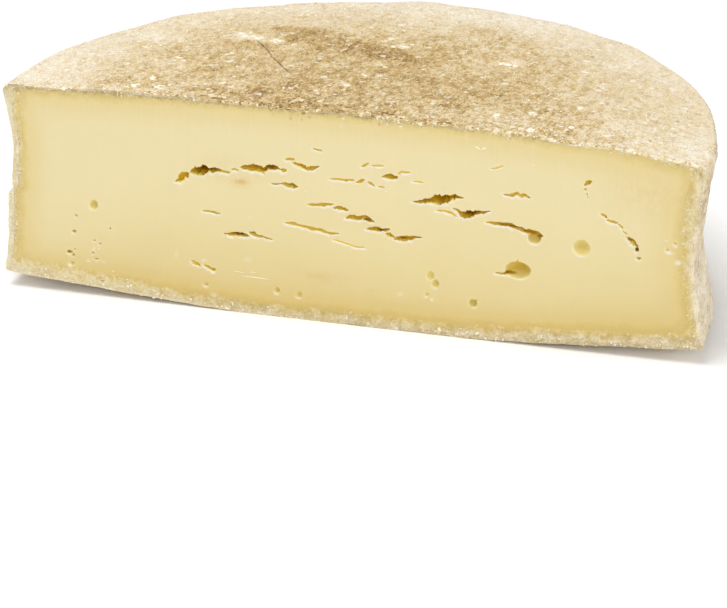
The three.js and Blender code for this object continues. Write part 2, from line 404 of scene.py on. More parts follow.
def worn_edge(points, normals):
    """Rounds the edge along the knife's cut, here more and there less, as brittle rind breaks away."""
    worn = points.copy()
    on_top = between(0.5, 0.8, normals[:, 2])
    for index in np.nonzero(points[:, 1] < CUT + 2.2)[0]:
        x, y, z = points[index]
        broken = 0.5 + 0.9 * wave(x, 7, z, 6) + 0.7 * wave(x, 3, z, 1.8)
        width = np.clip(0.9 + 0.7 * broken, 0.2, 1.9) * (1 - 0.35 * on_top[index])
        near = np.clip(1 - (y - CUT) / width, 0, 1)
        depth = (0.45 if on_top[index] > 0.5 or x < 0 else 0.9) * width
        worn[index] -= normals[index] * depth * (1 - math.sqrt(1 - min(near, 0.999) ** 2))
    return worn


def pressed_side(points, normals):
    """Level bands of the hoop all round, a swollen left end, and upright folds of cloth at the right."""
    angle, radius, height = polar(points)
    on_side = between(0.6, 0.95, 1 - np.abs(normals[:, 2]))
    wander = 1.2 * np.sin(3 * angle + 0.07 * height) + 0.8 * np.sin(7 * angle + 1)
    bands = 0.10 * np.sin((height + wander) / 1.9) + 0.12 * np.sin((height + wander) / 4.3 + 2)
    around = np.degrees(angle)
    folded = between(FOLDS_FROM, -5, around) * (1 - between(8, FOLDS_TO, around))
    lean = radius * angle + 0.05 * height
    folds = 0.22 * np.sin(lean / 0.8 + np.sin(height / 11)) + 0.18 * np.sin(lean / 1.9 + 1)
    swollen = 0.75 * between(-20, -90, points[:, 0])
    depth = (bands - 0.05) * 0.8 + (folds - 0.1) * folded + swollen
    return points + normals * (depth * on_side)[:, None]


move_vertices(rind, pressed_side(vertices(rind), vertex_normals(rind)))
print("the side is pressed, with folds from", FOLDS_FROM, "to", FOLDS_TO, "degrees")

# %% Lumps on the skin, pressed flat where they pass the solid's box
LUMPS = [(14, 0.35), (5, 0.3), (2.2, 0.28)]      # grain and height
SKIN_MARGIN = 0.05                               # how far the skin stays inside the box
SETTLED = 0.35                                   # how far the lumps underneath sink, so that it rests

for grain, height in LUMPS:
    displace(rind, grain, height)
move_vertices(rind, worn_edge(vertices(rind), vertex_normals(rind)))
settled = vertices(rind)
settled[:, 2] -= SETTLED * between(-0.5, -0.9, vertex_normals(rind)[:, 2])
settled[:, 0] = np.clip(settled[:, 0], cad_low.x / MM + SKIN_MARGIN, cad_high.x / MM - SKIN_MARGIN)
settled[:, 1] = np.minimum(settled[:, 1], cad_high.y / MM - SKIN_MARGIN)
settled[:, 2] = np.clip(settled[:, 2], 0, cad_high.z / MM - SKIN_MARGIN)
move_vertices(rind, settled)
print("skin lies within", settled.min(0).round(1), settled.max(0).round(1))

# %% Fewer faces underneath, then the knife's cut and the hollow for the core
facing_down = face_values(rind, "normal")[:, 2] < -0.7
select_faces(rind, facing_down & (face_values(rind, "center")[:, 1] > CUT + 4))
bpy.ops.mesh.decimate(ratio=0.3)
close_edit()
cut_behind(rind, CUT)
boolean(rind, core, "DIFFERENCE")
print("rind:", triangles(rind), "triangles")

# %% [markdown]
# ## The paste
#
# The cut face is flat and smooth, as a wire or a long knife leaves it, and everything that catches
# the eye happens in it: slits where the curd never knit together, and round eyes. The face starts
# as a grid, fine only near the hollows and the rind, and is extruded back into a block. The block's
# overlap with the core is the paste. Cutting the grid out of the core's own coarse faces would give
# no vertices near the slits to raise their lips with.

# %% Slits and eyes, from left to right and from the top down
# Every slit is its depth and a line of (x, z, opening) from tip to tip. x counts from the cut's
# middle, and z from what the cheese rests on.
CUT_MIDDLE = 2.91

SLITS = [
    (4, [(-76, 55, 0.5), (-74, 56.2, 2.5), (-72, 58, 3.2), (-70, 59.5, 1.0)]),
    (9, [(-69.6, 60, 0.8), (-67.5, 60.5, 3.4), (-65.5, 61, 4.4), (-62.5, 61.6, 3.2), (-59.5, 61.9, 2.1),
         (-56, 62, 1.0)]),
    (3, [(-56.4, 61.9, 0.9), (-54.5, 61.7, 1.1), (-52.2, 61.5, 0.7)]),
    (2, [(-51.8, 62.9, 0.5), (-50.3, 63.3, 0.9), (-48.7, 62.8, 0.5)]),
    (6, [(-48, 64.2, 0.6), (-45, 64.6, 2.2), (-41, 64.8, 2.7), (-38, 64.2, 2.6), (-36, 64.8, 1.2)]),
    (5, [(-39.4, 63.8, 1.4), (-38.2, 63, 1.2), (-37.3, 62.3, 0.4)]),
    (9, [(-37.4, 65.4, 1.0), (-35, 65.8, 2.3), (-32, 65.7, 1.5), (-30.8, 65.4, 0.6)]),
    (4, [(-31.3, 65.2, 0.7), (-29.5, 65.2, 1.3), (-27.8, 65.1, 0.4)]),
    (3, [(-28.6, 70, 0.5), (-26.5, 70.2, 1.1), (-24.4, 70.2, 0.4)]),
    (4, [(-25.6, 68.9, 0.6), (-22, 67.8, 1.9), (-19.5, 66.8, 1.7), (-17, 67.2, 1.4), (-14, 68.5, 0.7)]),
    (5, [(-34.8, 58.6, 0.3), (-32, 58.8, 0.5), (-29.5, 59.1, 0.6), (-27.5, 58.8, 1.8), (-25.3, 58.6, 2),
         (-23, 58.8, 0.4)]),
    (2, [(-64.4, 43.6, 0.3), (-60.5, 43.4, 1.1), (-56.6, 43, 0.4)]),
    (8, [(-55.4, 34.2, 0.3), (-53, 34.3, 1.2), (-50.5, 34.8, 2), (-48, 34.8, 1.8), (-44.3, 34.4, 0.7)]),
    (7, [(-44.6, 36.4, 0.5), (-42.6, 35.9, 1.6), (-40, 35, 1), (-34.1, 34.1, 0.3)]),
    (2, [(-16.8, 75.9, 0.3), (-14.8, 75.6, 0.9), (-12.7, 75.2, 0.3)]),
    (2, [(3.8, 70, 0.4), (5.2, 71.2, 1), (6.8, 72, 0.4)]),
    (2, [(7.8, 71, 0.3), (10.5, 71.3, 0.8), (13.2, 71.5, 0.4)]),
    (4, [(12, 66.6, 0.5), (14.2, 67, 1.5), (16.5, 67.1, 2.5), (19, 67, 0.8)]),
    (2, [(18.9, 68.4, 0.4), (20.3, 69.8, 0.8), (24.2, 70, 0.4)]),
    (3, [(-9.6, 63.5, 0.4), (-6, 63.8, 0.9), (-3, 63.5, 1), (0.7, 63.9, 0.6)]),
    (3, [(1.2, 62.9, 0.5), (3.2, 63.9, 1.3), (5.1, 64.8, 0.5)]),
    (3, [(6.3, 64.1, 0.6), (7.6, 63.3, 1.1), (9.2, 62.2, 0.5)]),
    (2, [(10.7, 62.2, 0.4), (12, 62.4, 0.9), (13.4, 62.2, 0.3)]),
    (4, [(-19.4, 51.1, 0.3), (-16, 51.4, 1.1), (-12.5, 52, 1.4), (-8.1, 52.5, 0.6)]),
    (6, [(-8.6, 51.1, 0.4), (-5.5, 51.2, 1.7), (-3.5, 51, 1.6), (-1.6, 50.8, 0.4)]),
    (5, [(-3.2, 47.2, 0.4), (-1, 47.8, 1.7), (1.5, 47.8, 2), (4.2, 47.9, 1.2)]),
    (10, [(3.5, 48.6, 0.6), (5.3, 48.1, 2.1), (7.3, 47.3, 1.9), (9.2, 46.8, 0.4)]),
    (8, [(5.6, 43.3, 0.4), (8.5, 43.7, 1.8), (11.5, 43.8, 2), (14, 43.6, 1.2), (15.8, 44.5, 0.3)]),
    (5, [(13.6, 41.9, 0.7), (15.6, 41.8, 1.6), (17.8, 41.3, 0.8)]),
    (6, [(17.1, 40.5, 0.7), (20.5, 40.8, 2), (24.5, 41.4, 1.8), (26.5, 42.1, 0.8), (29.5, 42.2, 0.2)]),
    (4, [(-29.2, 42.3, 0.4), (-25.5, 42.1, 1.2), (-22.5, 41.6, 1), (-19, 41.2, 1.2), (-15, 40.7, 1.3),
         (-12, 40.2, 1), (-9.4, 39.5, 1.1), (-5.8, 39.9, 0.4)]),
    (1.2, [(-8.4, 37.1, 0.3), (-5, 36.6, 0.6), (-2, 35.9, 0.6), (0.5, 35.2, 0.6), (5.2, 35, 0.2)]),
    (8, [(24.8, 57.5, 0.3), (28, 57.65, 1.1), (30.5, 58.15, 1.8), (33, 58.5, 2.1), (35.5, 59.35, 4.4),
         (38, 59.7, 4.1), (40, 60.5, 2.6), (42.5, 61.45, 1.9), (44.5, 61.45, 1.2), (46.6, 61.3, 0.3)]),
    (8, [(41.8, 56.2, 0.3), (44, 55.8, 1), (45.5, 54.6, 1.8), (46.8, 53.9, 2.9), (48.5, 54.5, 3.2),
         (50.5, 55.1, 1.9), (52.7, 55.9, 1.5), (55, 56.1, 0.8), (57.8, 56.9, 0.2)]),
    (1.5, [(35.1, 54.7, 0.4), (38, 54.9, 0.9), (41, 54.3, 0.9), (43.4, 53, 0.3)]),
    (8, [(55.6, 51.8, 0.3), (60, 51.9, 1.2), (65, 51.9, 1.6), (69, 51, 1.5), (72, 50, 1.6),
         (74.5, 49.7, 1.9), (77, 49.7, 1.7), (79.7, 48.2, 0.8)]),
    (3, [(62.6, 64.8, 0.4), (66, 64.5, 1.1), (68.3, 66, 1.2), (70, 65, 1.3), (71.5, 65.3, 1.4),
         (74, 64.1, 0.5)]),
    (1, [(57.8, 75.1, 0.3), (60.5, 76, 0.6), (62.8, 76.9, 0.3)]),
    (10, [(59.8, 30.2, 0.3), (63.5, 30.4, 0.9), (65.8, 31.2, 1.9), (68.5, 31.1, 1.0), (71.4, 31.5, 0.4)]),
    (3, [(68.2, 34.5, 2), (68.8, 36.3, 1.1), (69, 37.4, 0.3)]),
    (0.8, [(25.2, 66.3, 0.3), (27.5, 66.5, 0.8), (29.8, 66.1, 0.3)]),
    (4, [(95.8, 72, 0.6), (97.4, 73.3, 1.6), (99.1, 74.4, 0.5)]),
    (3, [(102.8, 60.8, 0.5), (104.2, 60, 1.2), (105.6, 59.2, 0.5)]),
    (3, [(105.2, 58.3, 0.5), (107.8, 58, 1.1), (110.1, 57.5, 0.5)]),
    (2, [(110, 57.2, 0.4), (111.2, 56.3, 0.9), (112.2, 55.4, 0.4)]),
    (2, [(112.1, 54.7, 0.4), (113, 54, 0.8), (114, 53.3, 0.5)]),
    (2, [(113.2, 52.1, 0.4), (114.2, 51.8, 0.8), (115.3, 51.6, 0.4)]),
    (5, [(113.8, 51.8, 0.7), (115.6, 50.6, 1.8), (117.3, 49.4, 1.7), (118.5, 48.2, 1)]),
    (2, [(117.9, 43.6, 0.6), (118.9, 43.5, 1.2), (119.8, 43.9, 0.5)]),
    (1.8, [(-69.7, 20.7, 0.4), (-67.7, 19.8, 1.5), (-65.6, 18.6, 0.6)]),
    (2, [(-64.4, 19.7, 0.4), (-62, 18.5, 1.3), (-60.2, 17.8, 1.6), (-59, 17.7, 0.8)]),
]

# Eyes: x, z, half width, half height, depth.
EYES = [
    (76, 47.6, 2.8, 2.9, 4.2), (69.3, 32.6, 5.5, 3.8, 5), (95.4, 45.4, 3.5, 3.5, 2.6),
    (118.1, 47.2, 0.8, 1, 4), (-111.8, 40.7, 1.8, 2.4, 2.2), (-32.5, 11.8, 1.2, 1.5, 1.9),
    (-23, 11, 1.25, 1.5, 1.8), (32.8, 26, 1.7, 2.2, 1.8), (35, 22.7, 1.5, 1.9, 2),
    (31.4, 17.6, 0.8, 1.1, 1.2), (50.8, 15.9, 1.75, 1.9, 2.7), (52.3, 17.3, 0.7, 0.4, 1.2),
    (-123, 18.5, 1.3, 0.9, 2), (-121.4, 17.4, 0.7, 0.6, 1.6), (-120.8, 28, 0.9, 0.7, 1.8),
    (-119.6, 35.2, 0.6, 0.6, 1.2), (-104.8, 31.1, 0.4, 0.5, 1.2), (-122.2, 13.6, 1, 0.8, 1.3),
    (-120.7, 20.1, 0.4, 0.4, 1), (-112, 25, 0.6, 0.6, 1.2), (-109.4, 23.7, 0.5, 0.5, 1.2),
    (-112.7, 19.3, 0.5, 0.6, 1.2), (-111.2, 16.7, 0.9, 0.5, 1.4), (-63.3, 11, 1.1, 1, 1.4),
    (96.4, 70.6, 0.55, 0.6, 1.1), (97.2, 68.6, 0.35, 0.35, 1), (97.5, 67.3, 0.3, 0.3, 1),
    (130.4, 48.5, 0.65, 0.6, 1.1), (133.3, 51.5, 0.4, 0.4, 1), (-109, 6.9, 0.7, 0.6, 1.2),
]
print(len(SLITS), "slits and", len(EYES), "eyes to cut")

# %% [markdown]
# A slit's cutter starts as a ball whose poles become the slit's two tips. Its rings are then strung
# along the line, each as wide as the slit is there, and drawn back into the paste. Curd tears and
# never cuts cleanly, so both edges wander together and each edge is ragged by itself. The eyes stay
# nearly smooth, since gas blew them up like bubbles.

# %% Cutters for the slits
STATION = 0.3                # distance between the rings along a slit
FRONT_REACH = 1.2            # how far a cutter stands out in front of the cut
WANDER, RAGGED = 0.32, 0.45  # millimetres both edges wander together, and each edge's own share
WIDENED = 0.2                # added to every opening, since the ragged edges narrow it
SHALLOWER = 1.6              # a slit is no deeper than its opening to this power


def slit_cutter(depth, line):
    xs, zs, openings = np.array(line).T
    steps = np.hypot(np.diff(xs), np.diff(zs))
    along = np.concatenate(([0], np.cumsum(steps)))
    rings = max(10, round(along[-1] / STATION))
    bpy.ops.mesh.primitive_uv_sphere_add(segments=18, ring_count=rings, radius=1)
    cutter = newest("slit cutter")
    ball = vertices(cutter) * MM
    share = np.arccos(np.clip(ball[:, 2], -1, 1)) / math.pi
    turn = np.arctan2(ball[:, 1], ball[:, 0])
    at = share * along[-1]
    openings = openings + WIDENED
    depth = min(depth, openings.max() ** SHALLOWER)
    x, z, opening = (np.interp(at, along, values) for values in (xs, zs, openings))
    ahead = np.clip(at + 0.5, 0, along[-1])
    behind = np.clip(at - 0.5, 0, along[-1])
    way = np.arctan2(np.interp(ahead, along, zs) - np.interp(behind, along, zs),
                     np.interp(ahead, along, xs) - np.interp(behind, along, xs))
    tip = np.minimum(1, 1.6 * np.sin(share * math.pi) ** 0.35)
    back = np.sin(turn)
    reach = np.where(back > 0, depth * (opening / openings.max()) ** 0.5, FRONT_REACH)
    y = back * reach * tip
    up = np.cos(turn)
    ragged = [1 + RAGGED * (wave(at_x, at_y, 40 * np.sign(at_up), 0.9)
                            + wave(at_x, at_y, 70 * np.sign(at_up), 0.45)
                            + wave(at_x, at_y, 9, 2.3))
              for at_x, at_y, at_up in zip(x, y, up)]
    out = up * opening / 2 * tip * np.array(ragged)
    shift = [WANDER * (wave(at_x, at_y, at_z, 3.1) + 0.5 * wave(at_x, at_y, at_z, 1.2))
             for at_x, at_y, at_z in zip(x, y, z)]
    out = out + np.array(shift) * tip
    place = np.column_stack((x + CUT_MIDDLE - out * np.sin(way), CUT + y, z + out * np.cos(way)))
    move_vertices(cutter, place)
    only(cutter)
    bpy.ops.object.mode_set(mode="EDIT")
    bpy.ops.mesh.select_all(action="SELECT")
    bpy.ops.mesh.normals_make_consistent(inside=False)
    close_edit()
    return cutter


cutters = [slit_cutter(depth, line) for depth, line in SLITS]
print("slits:", len(cutters), "with", sum(map(triangles, cutters)), "triangles")

# %% Cutters for the eyes, and a search tree of each kind
EYE_OUT = 0.15               # share of its depth by which an eye's middle is in front of the cut


def eye_cutter(x, z, half_width, half_height, depth):
    bpy.ops.mesh.primitive_ico_sphere_add(
        subdivisions=5 if half_width > 2 else 4, radius=1,
        location=((x + CUT_MIDDLE) * MM, (CUT - EYE_OUT * depth) * MM, z * MM),
        scale=(half_width * MM, depth * MM, half_height * MM))
    cutter = newest("eye cutter")
    displace(cutter, 2.5, 0.35)
    return cutter


eye_cutters = [eye_cutter(*eye) for eye in EYES]


def all_vertices(pieces):
    return np.concatenate([vertices(piece) for piece in pieces])


def search_tree(points):
    """Finds the nearest of many points."""
    tree = KDTree(len(points))
    for index, point in enumerate(points):
        tree.insert(point, index)
    tree.balance()
    return tree


slit_tree = search_tree(all_vertices(cutters))
eye_tree = search_tree(all_vertices(eye_cutters))


def nearer_an_eye(point):
    return eye_tree.find(point)[2] < slit_tree.find(point)[2]


print("eyes:", len(eye_cutters), "with", sum(map(triangles, eye_cutters)), "triangles")
cutters += eye_cutters

# %% [markdown]
# Some hollows run into each other. Cutters that overlap can't be taken away in one go, so they are
# sorted into groups whose members keep apart, and each group is joined and cut by itself.

# %% Groups of cutters that don't touch
KEEP_APART = 0.5


def join(pieces, name):
    only(pieces[0])
    for piece in pieces:
        piece.select_set(True)
    bpy.ops.object.join()
    return newest(name)


def apart(first, second):
    (low, high), (other_low, other_high) = first, second
    return np.any(low - KEEP_APART > other_high) or np.any(other_low - KEEP_APART > high)


groups = []
for cutter in cutters:
    points = vertices(cutter)
    reach = points.min(0), points.max(0)
    fitting = [group for group in groups if all(apart(reach, other) for _, other in group)]
    if not fitting:
        groups.append([])
        fitting = groups[-1:]
    fitting[0].append((cutter, reach))
hollows = [join([cutter for cutter, _ in group], "hollow cutters") for group in groups]
print("hollows:", len(cutters), "in", [len(group) for group in groups], "with",
      sum(map(triangles, hollows)), "triangles")

# %% The block behind the cut face, fine where the hollows and the rind are
FACE_CELL = 2.0
NEAR_HOLLOW, NEAR_RIND = 3.0, 10.0
FACE_WIDTH, FACE_HEIGHT = 316, 104
BLOCK_DEPTH = 170

bpy.ops.mesh.primitive_grid_add(
    x_subdivisions=round(FACE_WIDTH / FACE_CELL), y_subdivisions=round(FACE_HEIGHT / FACE_CELL), size=1,
    location=(MIDDLE[0] * MM, CUT * MM, MIDDLE_HEIGHT / 2 * MM), rotation=(math.pi / 2, 0, 0))
bpy.context.object.scale = (FACE_WIDTH * MM, FACE_HEIGHT * MM, 1)
paste = newest("paste")
hollow_points = all_vertices(hollows)
hollow_points[:, 1] = CUT
hollow_tree = search_tree(hollow_points)


def rind_distances(points):
    """How far points of the cut are inside the wheel's right or left side, top and underside."""
    flat = points.copy()
    flat[:, 1] = CUT
    angle, radius, height = polar(flat)
    side = outline_radius(angle) + side_offset(height, angle) - radius
    top = top_height(radius, angle) - height
    under = height - underside_height(radius, angle)
    return side, top, under


centres = face_values(paste, "center")
refine(paste, np.min(rind_distances(centres), axis=0) < NEAR_RIND, 1)
centres = face_values(paste, "center")
near = np.array([hollow_tree.find((x, CUT, z))[2] < NEAR_HOLLOW for x, _, z in centres])
refine(paste, near, 3)
only(paste)
bpy.ops.object.mode_set(mode="EDIT")
bpy.ops.mesh.select_all(action="SELECT")
bpy.ops.mesh.extrude_region_move(TRANSFORM_OT_translate={"value": (0, BLOCK_DEPTH * MM, 0)})
bpy.ops.mesh.select_all(action="SELECT")
bpy.ops.mesh.normals_make_consistent(inside=False)
close_edit()
print("block:", triangles(paste), "triangles")

# %% The core's share of the block, with the hollows taken out
boolean(paste, core, "INTERSECT")
for piece in hollows:
    boolean(paste, piece, "DIFFERENCE")
    remove(piece)
remove(core)
print("paste:", triangles(paste), "triangles")

# %% [markdown]
# ### Lips, and how far each point is from the rind
#
# The wire drags a little paste over the lower edge of each hollow, so every mouth has a pale raised
# lip below it. The lip is modelled by moving the vertices next to a mouth's edge, and the same
# measure is kept as an attribute that colours it paler: partly the smeared paste's own colour, and
# partly a painted highlight where the light from above and the left catches the lip.
#
# The colour of the cut changes with the distance from the rind: first a grainy pale band, then a
# darker yellow one where the cheese has dried, then the cream-yellow paste. That distance is worked
# out once and stored as an attribute, because the shader can't measure it.

# %% Pale, stained and deep places on the cut

# Pale soft spots where an eye lies just under the cut: x, z, half width, half height and strength.
PALE_SPOTS = [(-123, 12.6, 1.2, 1.0, 0.8), (-115, 15.3, 0.9, 0.9, 0.6), (-108.5, 15.5, 1.6, 1.0, 0.5),
              (-112.5, 20.5, 0.7, 1.4, 0.5), (-64, 21.5, 1.4, 0.5, 0.5), (-45, 24, 1.5, 1.0, 0.5),
              (-60, 6.5, 2, 1, 0.5), (20, 16.6, 1.6, 0.7, 0.6),
              (33.5, 15.4, 0.9, 0.8, 0.6), (-76, 23, 0.5, 2.2, 0.35), (-71, 17, 0.5, 2.0, 0.35),
              (131, 47.2, 1.6, 0.8, 0.7), (134.8, 43.4, 1.4, 1.0, 0.8), (133.6, 50.2, 0.9, 0.8, 0.6),
              (129.5, 52.3, 1.2, 0.5, 0.5), (5, 64.6, 2.5, 0.6, 0.4), (-44, 42.8, 0.4, 1.2, 0.4)]

# Faint tan stains: x, z, half length, half height and strength.
STAINS = [(-47.5, 57.6, 3.8, 1.3, 1), (-56, 60, 9, 3, 0.16), (-56, 66, 7, 3, 0.14),
          (-40, 61, 10, 2, 0.14), (-13, 20, 10, 2, 0.36), (91.4, 19.4, 0.9, 0.9, 0.6),
          (7, 15.8, 4, 1.5, 0.12), (0, 47, 12, 4, 0.08), (121, 70, 16, 10, 0.25)]

# Deep places in the hollows, painted dark brown as painted shade: x, z, half length and half height at
# the mouth. Each goes into the cheese on a slant, downwards and to the left, by these shares of its depth.
SHADED_POCKET_SLOPE = (0.28, 0, 0.42)
SHADED_POCKETS = [(-63.5, 62.8, 4.2, 0.9), (-34.6, 66, 2.1, 1.4), (-48.3, 35.3, 3.6, 0.7),
           (-43, 36.8, 1.2, 0.6), (5.8, 47.3, 2.2, 0.9), (11.9, 43.6, 2, 0.6), (22, 41.4, 4, 0.4),
           (37.6, 57.5, 2.2, 0.6), (48.8, 55.4, 3.4, 1), (67, 51.7, 7, 0.6), (72.8, 50.2, 2, 0.5),
           (75.6, 49.8, 2, 0.9), (78.3, 48.6, 1.3, 0.9), (66.2, 31.4, 3, 0.8),
           (117.8, 47.4, 1, 1.2), (115.2, 51.2, 1.4, 0.6), (-123.4, 18.6, 0.8, 0.5)]


def soft_spots(points, spots):
    """For each x, z, half length, half height and strength: its strength in the middle, fading outwards."""
    x, z = points[:, 0] - CUT_MIDDLE, points[:, 2]
    return [share * np.exp(-((x - at_x) / long) ** 2 - ((z - at_z) / high) ** 2)
            for at_x, at_z, long, high, share in spots]


print(len(PALE_SPOTS), "pale spots,", len(STAINS), "stains and", len(SHADED_POCKETS), "deep pockets")

# %% Where the cut's borders run
BAND_UNDER, BAND_TOP = (5.2, 6.4), (2.4, 0.9)    # thickness of the grainy band, left and right
BAND_HEIGHTS = (12, 42, 60, 84)                  # and at the sides, from the foot to the rim
BAND_LEFT, BAND_RIGHT = (3.9, 4.4, 3.6, 5.2), (3.7, 3.9, 5.8, 6.0)
CORNER_BLEND = 2.4


def side_band(x, z):
    return np.where(x < 0, np.interp(z, BAND_HEIGHTS, BAND_LEFT), np.interp(z, BAND_HEIGHTS, BAND_RIGHT))


def inside_band(points):
    """Millimetres from the grainy band's inner border: negative in the band, positive in the paste."""
    side, top, under = rind_distances(points)
    band = side_band(points[:, 0], points[:, 2])
    stacked = np.stack((side - band, top - np.interp(points[:, 0], (-100, 0), BAND_TOP),
                        under - np.interp(points[:, 0], (-20, 80), BAND_UNDER)))
    return -CORNER_BLEND * np.log(np.exp(-stacked / CORNER_BLEND).sum(0))


def tanned(points):
    """How brown the band is: 1 right under the top's left and middle, and less in some other places."""
    _, top, under = rind_distances(points)
    x, _, z = points.T
    low = between(7, 3, under) * (0.5 * between(-100, -60, x) + 0.3 * between(50, 85, x))
    right = 0.15 * between(45, 65, z) * between(122, 134, x)
    return np.maximum(between(4.0, 0.4, top) * (1 - between(65, 115, x)), np.maximum(low, right))


def laced(points):
    """1 in the left foot of the cut, where lumps of pale bloom lie in the paste's border."""
    side, _, under = rind_distances(points)
    return between(-70, -100, points[:, 0]) * between(8, 5, under) * between(2, 5, side)


points = vertices(paste)
normals = vertex_normals(paste)
from_rind = inside_band(points)
print("the paste is up to", from_rind.max().round(1), "mm away from the grainy band")

# %% Lips below the mouths of the hollows
ON_CUT = 1e-3                                    # how far from the knife's plane is still on the cut
CLEAR_OF_RIND = 2.6                              # no hollow opens nearer to the rind than this
LIP_HEIGHT, LIP_REACH = 0.26, 1.0
EYE_LIP = 0.65                                   # an eye's lip is this much fainter than a slit's

on_cut = np.abs(points[:, 1] - CUT) < ON_CUT


def mouth_vertices(piece, points):
    """Vertices in the cut that also belong to a hollow's wall."""
    walls = np.zeros(len(points), bool)
    for face in piece.data.polygons:
        if abs(face.normal.y) < 0.98:
            walls[list(face.vertices)] = True
    away = np.min(rind_distances(points), axis=0) > CLEAR_OF_RIND
    return np.nonzero(on_cut & walls & away)[0]


mouths = mouth_vertices(paste, points)
mouth_tree = search_tree(points[mouths])
lip = np.zeros(len(points))
for index in np.nonzero(on_cut)[0]:
    edge, _, gap = mouth_tree.find(points[index])
    if gap >= 4 * LIP_REACH:
        continue
    if gap < 1e-6:                               # on the edge itself, the normal says where the mouth is
        left, _, below = 1.4 * normals[index]
    else:
        left, _, below = np.array(edge - Vector(points[index])) / gap
    uneven = 0.8 + 0.7 * wave(points[index][0], 4, points[index][2], 2.5)
    # Stronger below and to the left, where the lips face the light: the paler colour there is partly the
    # smeared paste and partly a painted highlight.
    facing = np.clip(0.1 + 0.8 * below + 0.35 * left, 0, 1)
    if nearer_an_eye(points[index]):
        facing *= EYE_LIP
    lip[index] = math.exp(-(gap / LIP_REACH) ** 2) * facing * uneven
for spot in soft_spots(points, PALE_SPOTS):
    lip = np.maximum(lip, spot * (points[:, 1] < CUT + 0.1))
print("mouth vertices:", len(mouths), "- highest lip", lip.max().round(2))

# %% Everything that the paste's material will read
DEEPEST = 12                                     # no hollow goes deeper


def give_attribute(piece, name, values, domain="POINT"):
    made = piece.data.attributes.new(name, "FLOAT", domain)
    made.data.foreach_set("value", np.asarray(values, np.float32))


def within_hollows(places):
    return (places[:, 1] > CUT + ON_CUT) & (places[:, 1] < CUT + DEEPEST)


centres = face_values(paste, "center")
in_wall = within_hollows(centres) & (np.min(rind_distances(centres), axis=0) > CLEAR_OF_RIND)
in_eye = np.zeros(len(points))
for index in np.nonzero(within_hollows(points))[0]:
    in_eye[index] = nearer_an_eye(points[index])
side, _, under = rind_distances(points)
at_right_fold = between(60, 100, points[:, 0]) * between(-1, 2, under - side)
# Where the hollows get painted shade, followed inwards along each pocket's slant.
slanted = points + np.outer(np.maximum(points[:, 1] - CUT, 0), SHADED_POCKET_SLOPE)
shaded_pocket = np.max(soft_spots(slanted, [(*place, 1) for place in SHADED_POCKETS]), axis=0)
give_attribute(paste, "hollow wall", in_wall, "FACE")
# Painted light: the part of an eye that faces up, towards the light above, is painted paler.
lit_eye_floor = in_eye * between(0.1, 0.9, normals[:, 2])
for name, values in (("lip", lip), ("in eye", in_eye), ("lit eye floor", lit_eye_floor), ("inside", from_rind),
                     ("tanned", tanned(points)), ("laced", laced(points)), ("folded", at_right_fold),
                     ("stain", sum(soft_spots(points, STAINS))), ("shaded_pocket", shaded_pocket)):
    give_attribute(paste, name, values)
    print(name, "goes from", round(float(np.min(values)), 2), "to", round(float(np.max(values)), 2))

# %% Raised lips and a rough border band
ROUGH_DEPTH = 0.12                               # how far the grainy band stands back, and how uneven it is

points[:, 1] -= lip * LIP_HEIGHT
rough = np.array([math.sin(9.1 * x + 3 * math.sin(5.3 * z)) * math.sin(8.3 * z + 2 * math.sin(4.7 * x))
                  for x, _, z in points])
sunk = (ROUGH_DEPTH + ROUGH_DEPTH * rough) * between(1.0, -2.0, from_rind)
points[:, 1] += np.where(on_cut, sunk, 0)
move_vertices(paste, points)
print("the cut's relief goes from", (points[on_cut, 1].min() - CUT).round(2), "to",
      (points[on_cut, 1].max() - CUT).round(2), "mm")

# %% [markdown]
# ## Crumbs and flakes
#
# A knife drags grains of the brittle rind into the edge of the cut, and lifts flat flakes along the
# top. They could be painted on, but at the outline and in low light they have to stand proud. A few
# grains, crumbs and flakes are modelled once, and a seeded draw copies them by the thousand into one
# mesh for each kind, which costs little because each body has only a few faces.

# %% How pale the top is from place to place
# Patches on the top: x, distance behind the cut, half length, half depth, and how much paler.
PATCHES = [
    (-50, 95, 13, 8, -0.22), (-25, 84, 26, 10, -0.22), (-6, 73, 20, 10, -0.22), (26, 56, 30, 12, -0.16),
    (-45, 16, 13, 7, -0.26), (-35, 5, 20, 5, -0.2), (36, 42, 34, 9, -0.12), (62, 33, 30, 6, -0.04),
    (-82, 58, 12, 8, -0.04), (-68, 84, 9, 4, 0.4), (-57, 82, 6, 3, 0.35), (-6, 90, 12, 3.5, 0.3),
    (43, 83, 4, 3, 0.35), (-82, 10, 16, 6, -0.14), (-92, 36, 9, 5, 0.2), (70, 25, 5, 5, 0.1),
    (35, 66, 17, 24, 0.26), (-48, 103, 24, 6, 0.22), (44, 21, 14, 5, 0.12), (20, 7, 8, 4, -0.1),
    (-56, 46, 12, 8, 0.12), (-54, 19, 6, 4, 0.14), (74, 34, 8, 6, -0.14), (4, 84, 10, 5, 0.12),
    (-142, 20, 10, 24, 0.14), (138, 26, 7, 24, 0.16), (-20, 62, 5, 4, 0.2), (-8, 62, 4, 3, 0.25),
    (-9, 47, 3, 3, 0.25), (40, 105, 40, 14, -0.06), (20, 20, 30, 8, 0.06), (88, 10, 26, 10, -0.36),
    (-92, 8, 14, 7, -0.08), (-115, 22, 20, 22, -0.14), (48, 28, 6, 4, -0.14),
    (-122, 48, 16, 40, 0.1), (0, 142, 90, 11, 0.12), (118, 55, 24, 36, -0.14),
    (-112, 72, 8, 8, 0.12), (-94, 90, 8, 5, 0.14), (-64, 86, 7, 5, 0.16), (14, 24, 7, 8, 0.14),
]


BARE_MIDDLE, BARE_REACH = (-8, 48), (128, 92)    # the brown middle of the top, and how far it reaches
BARE, RIM_GAIN = 0.36, 0.43                      # the bloom there, and how much more there is at the rim
PATCH_STRENGTH = 0.75


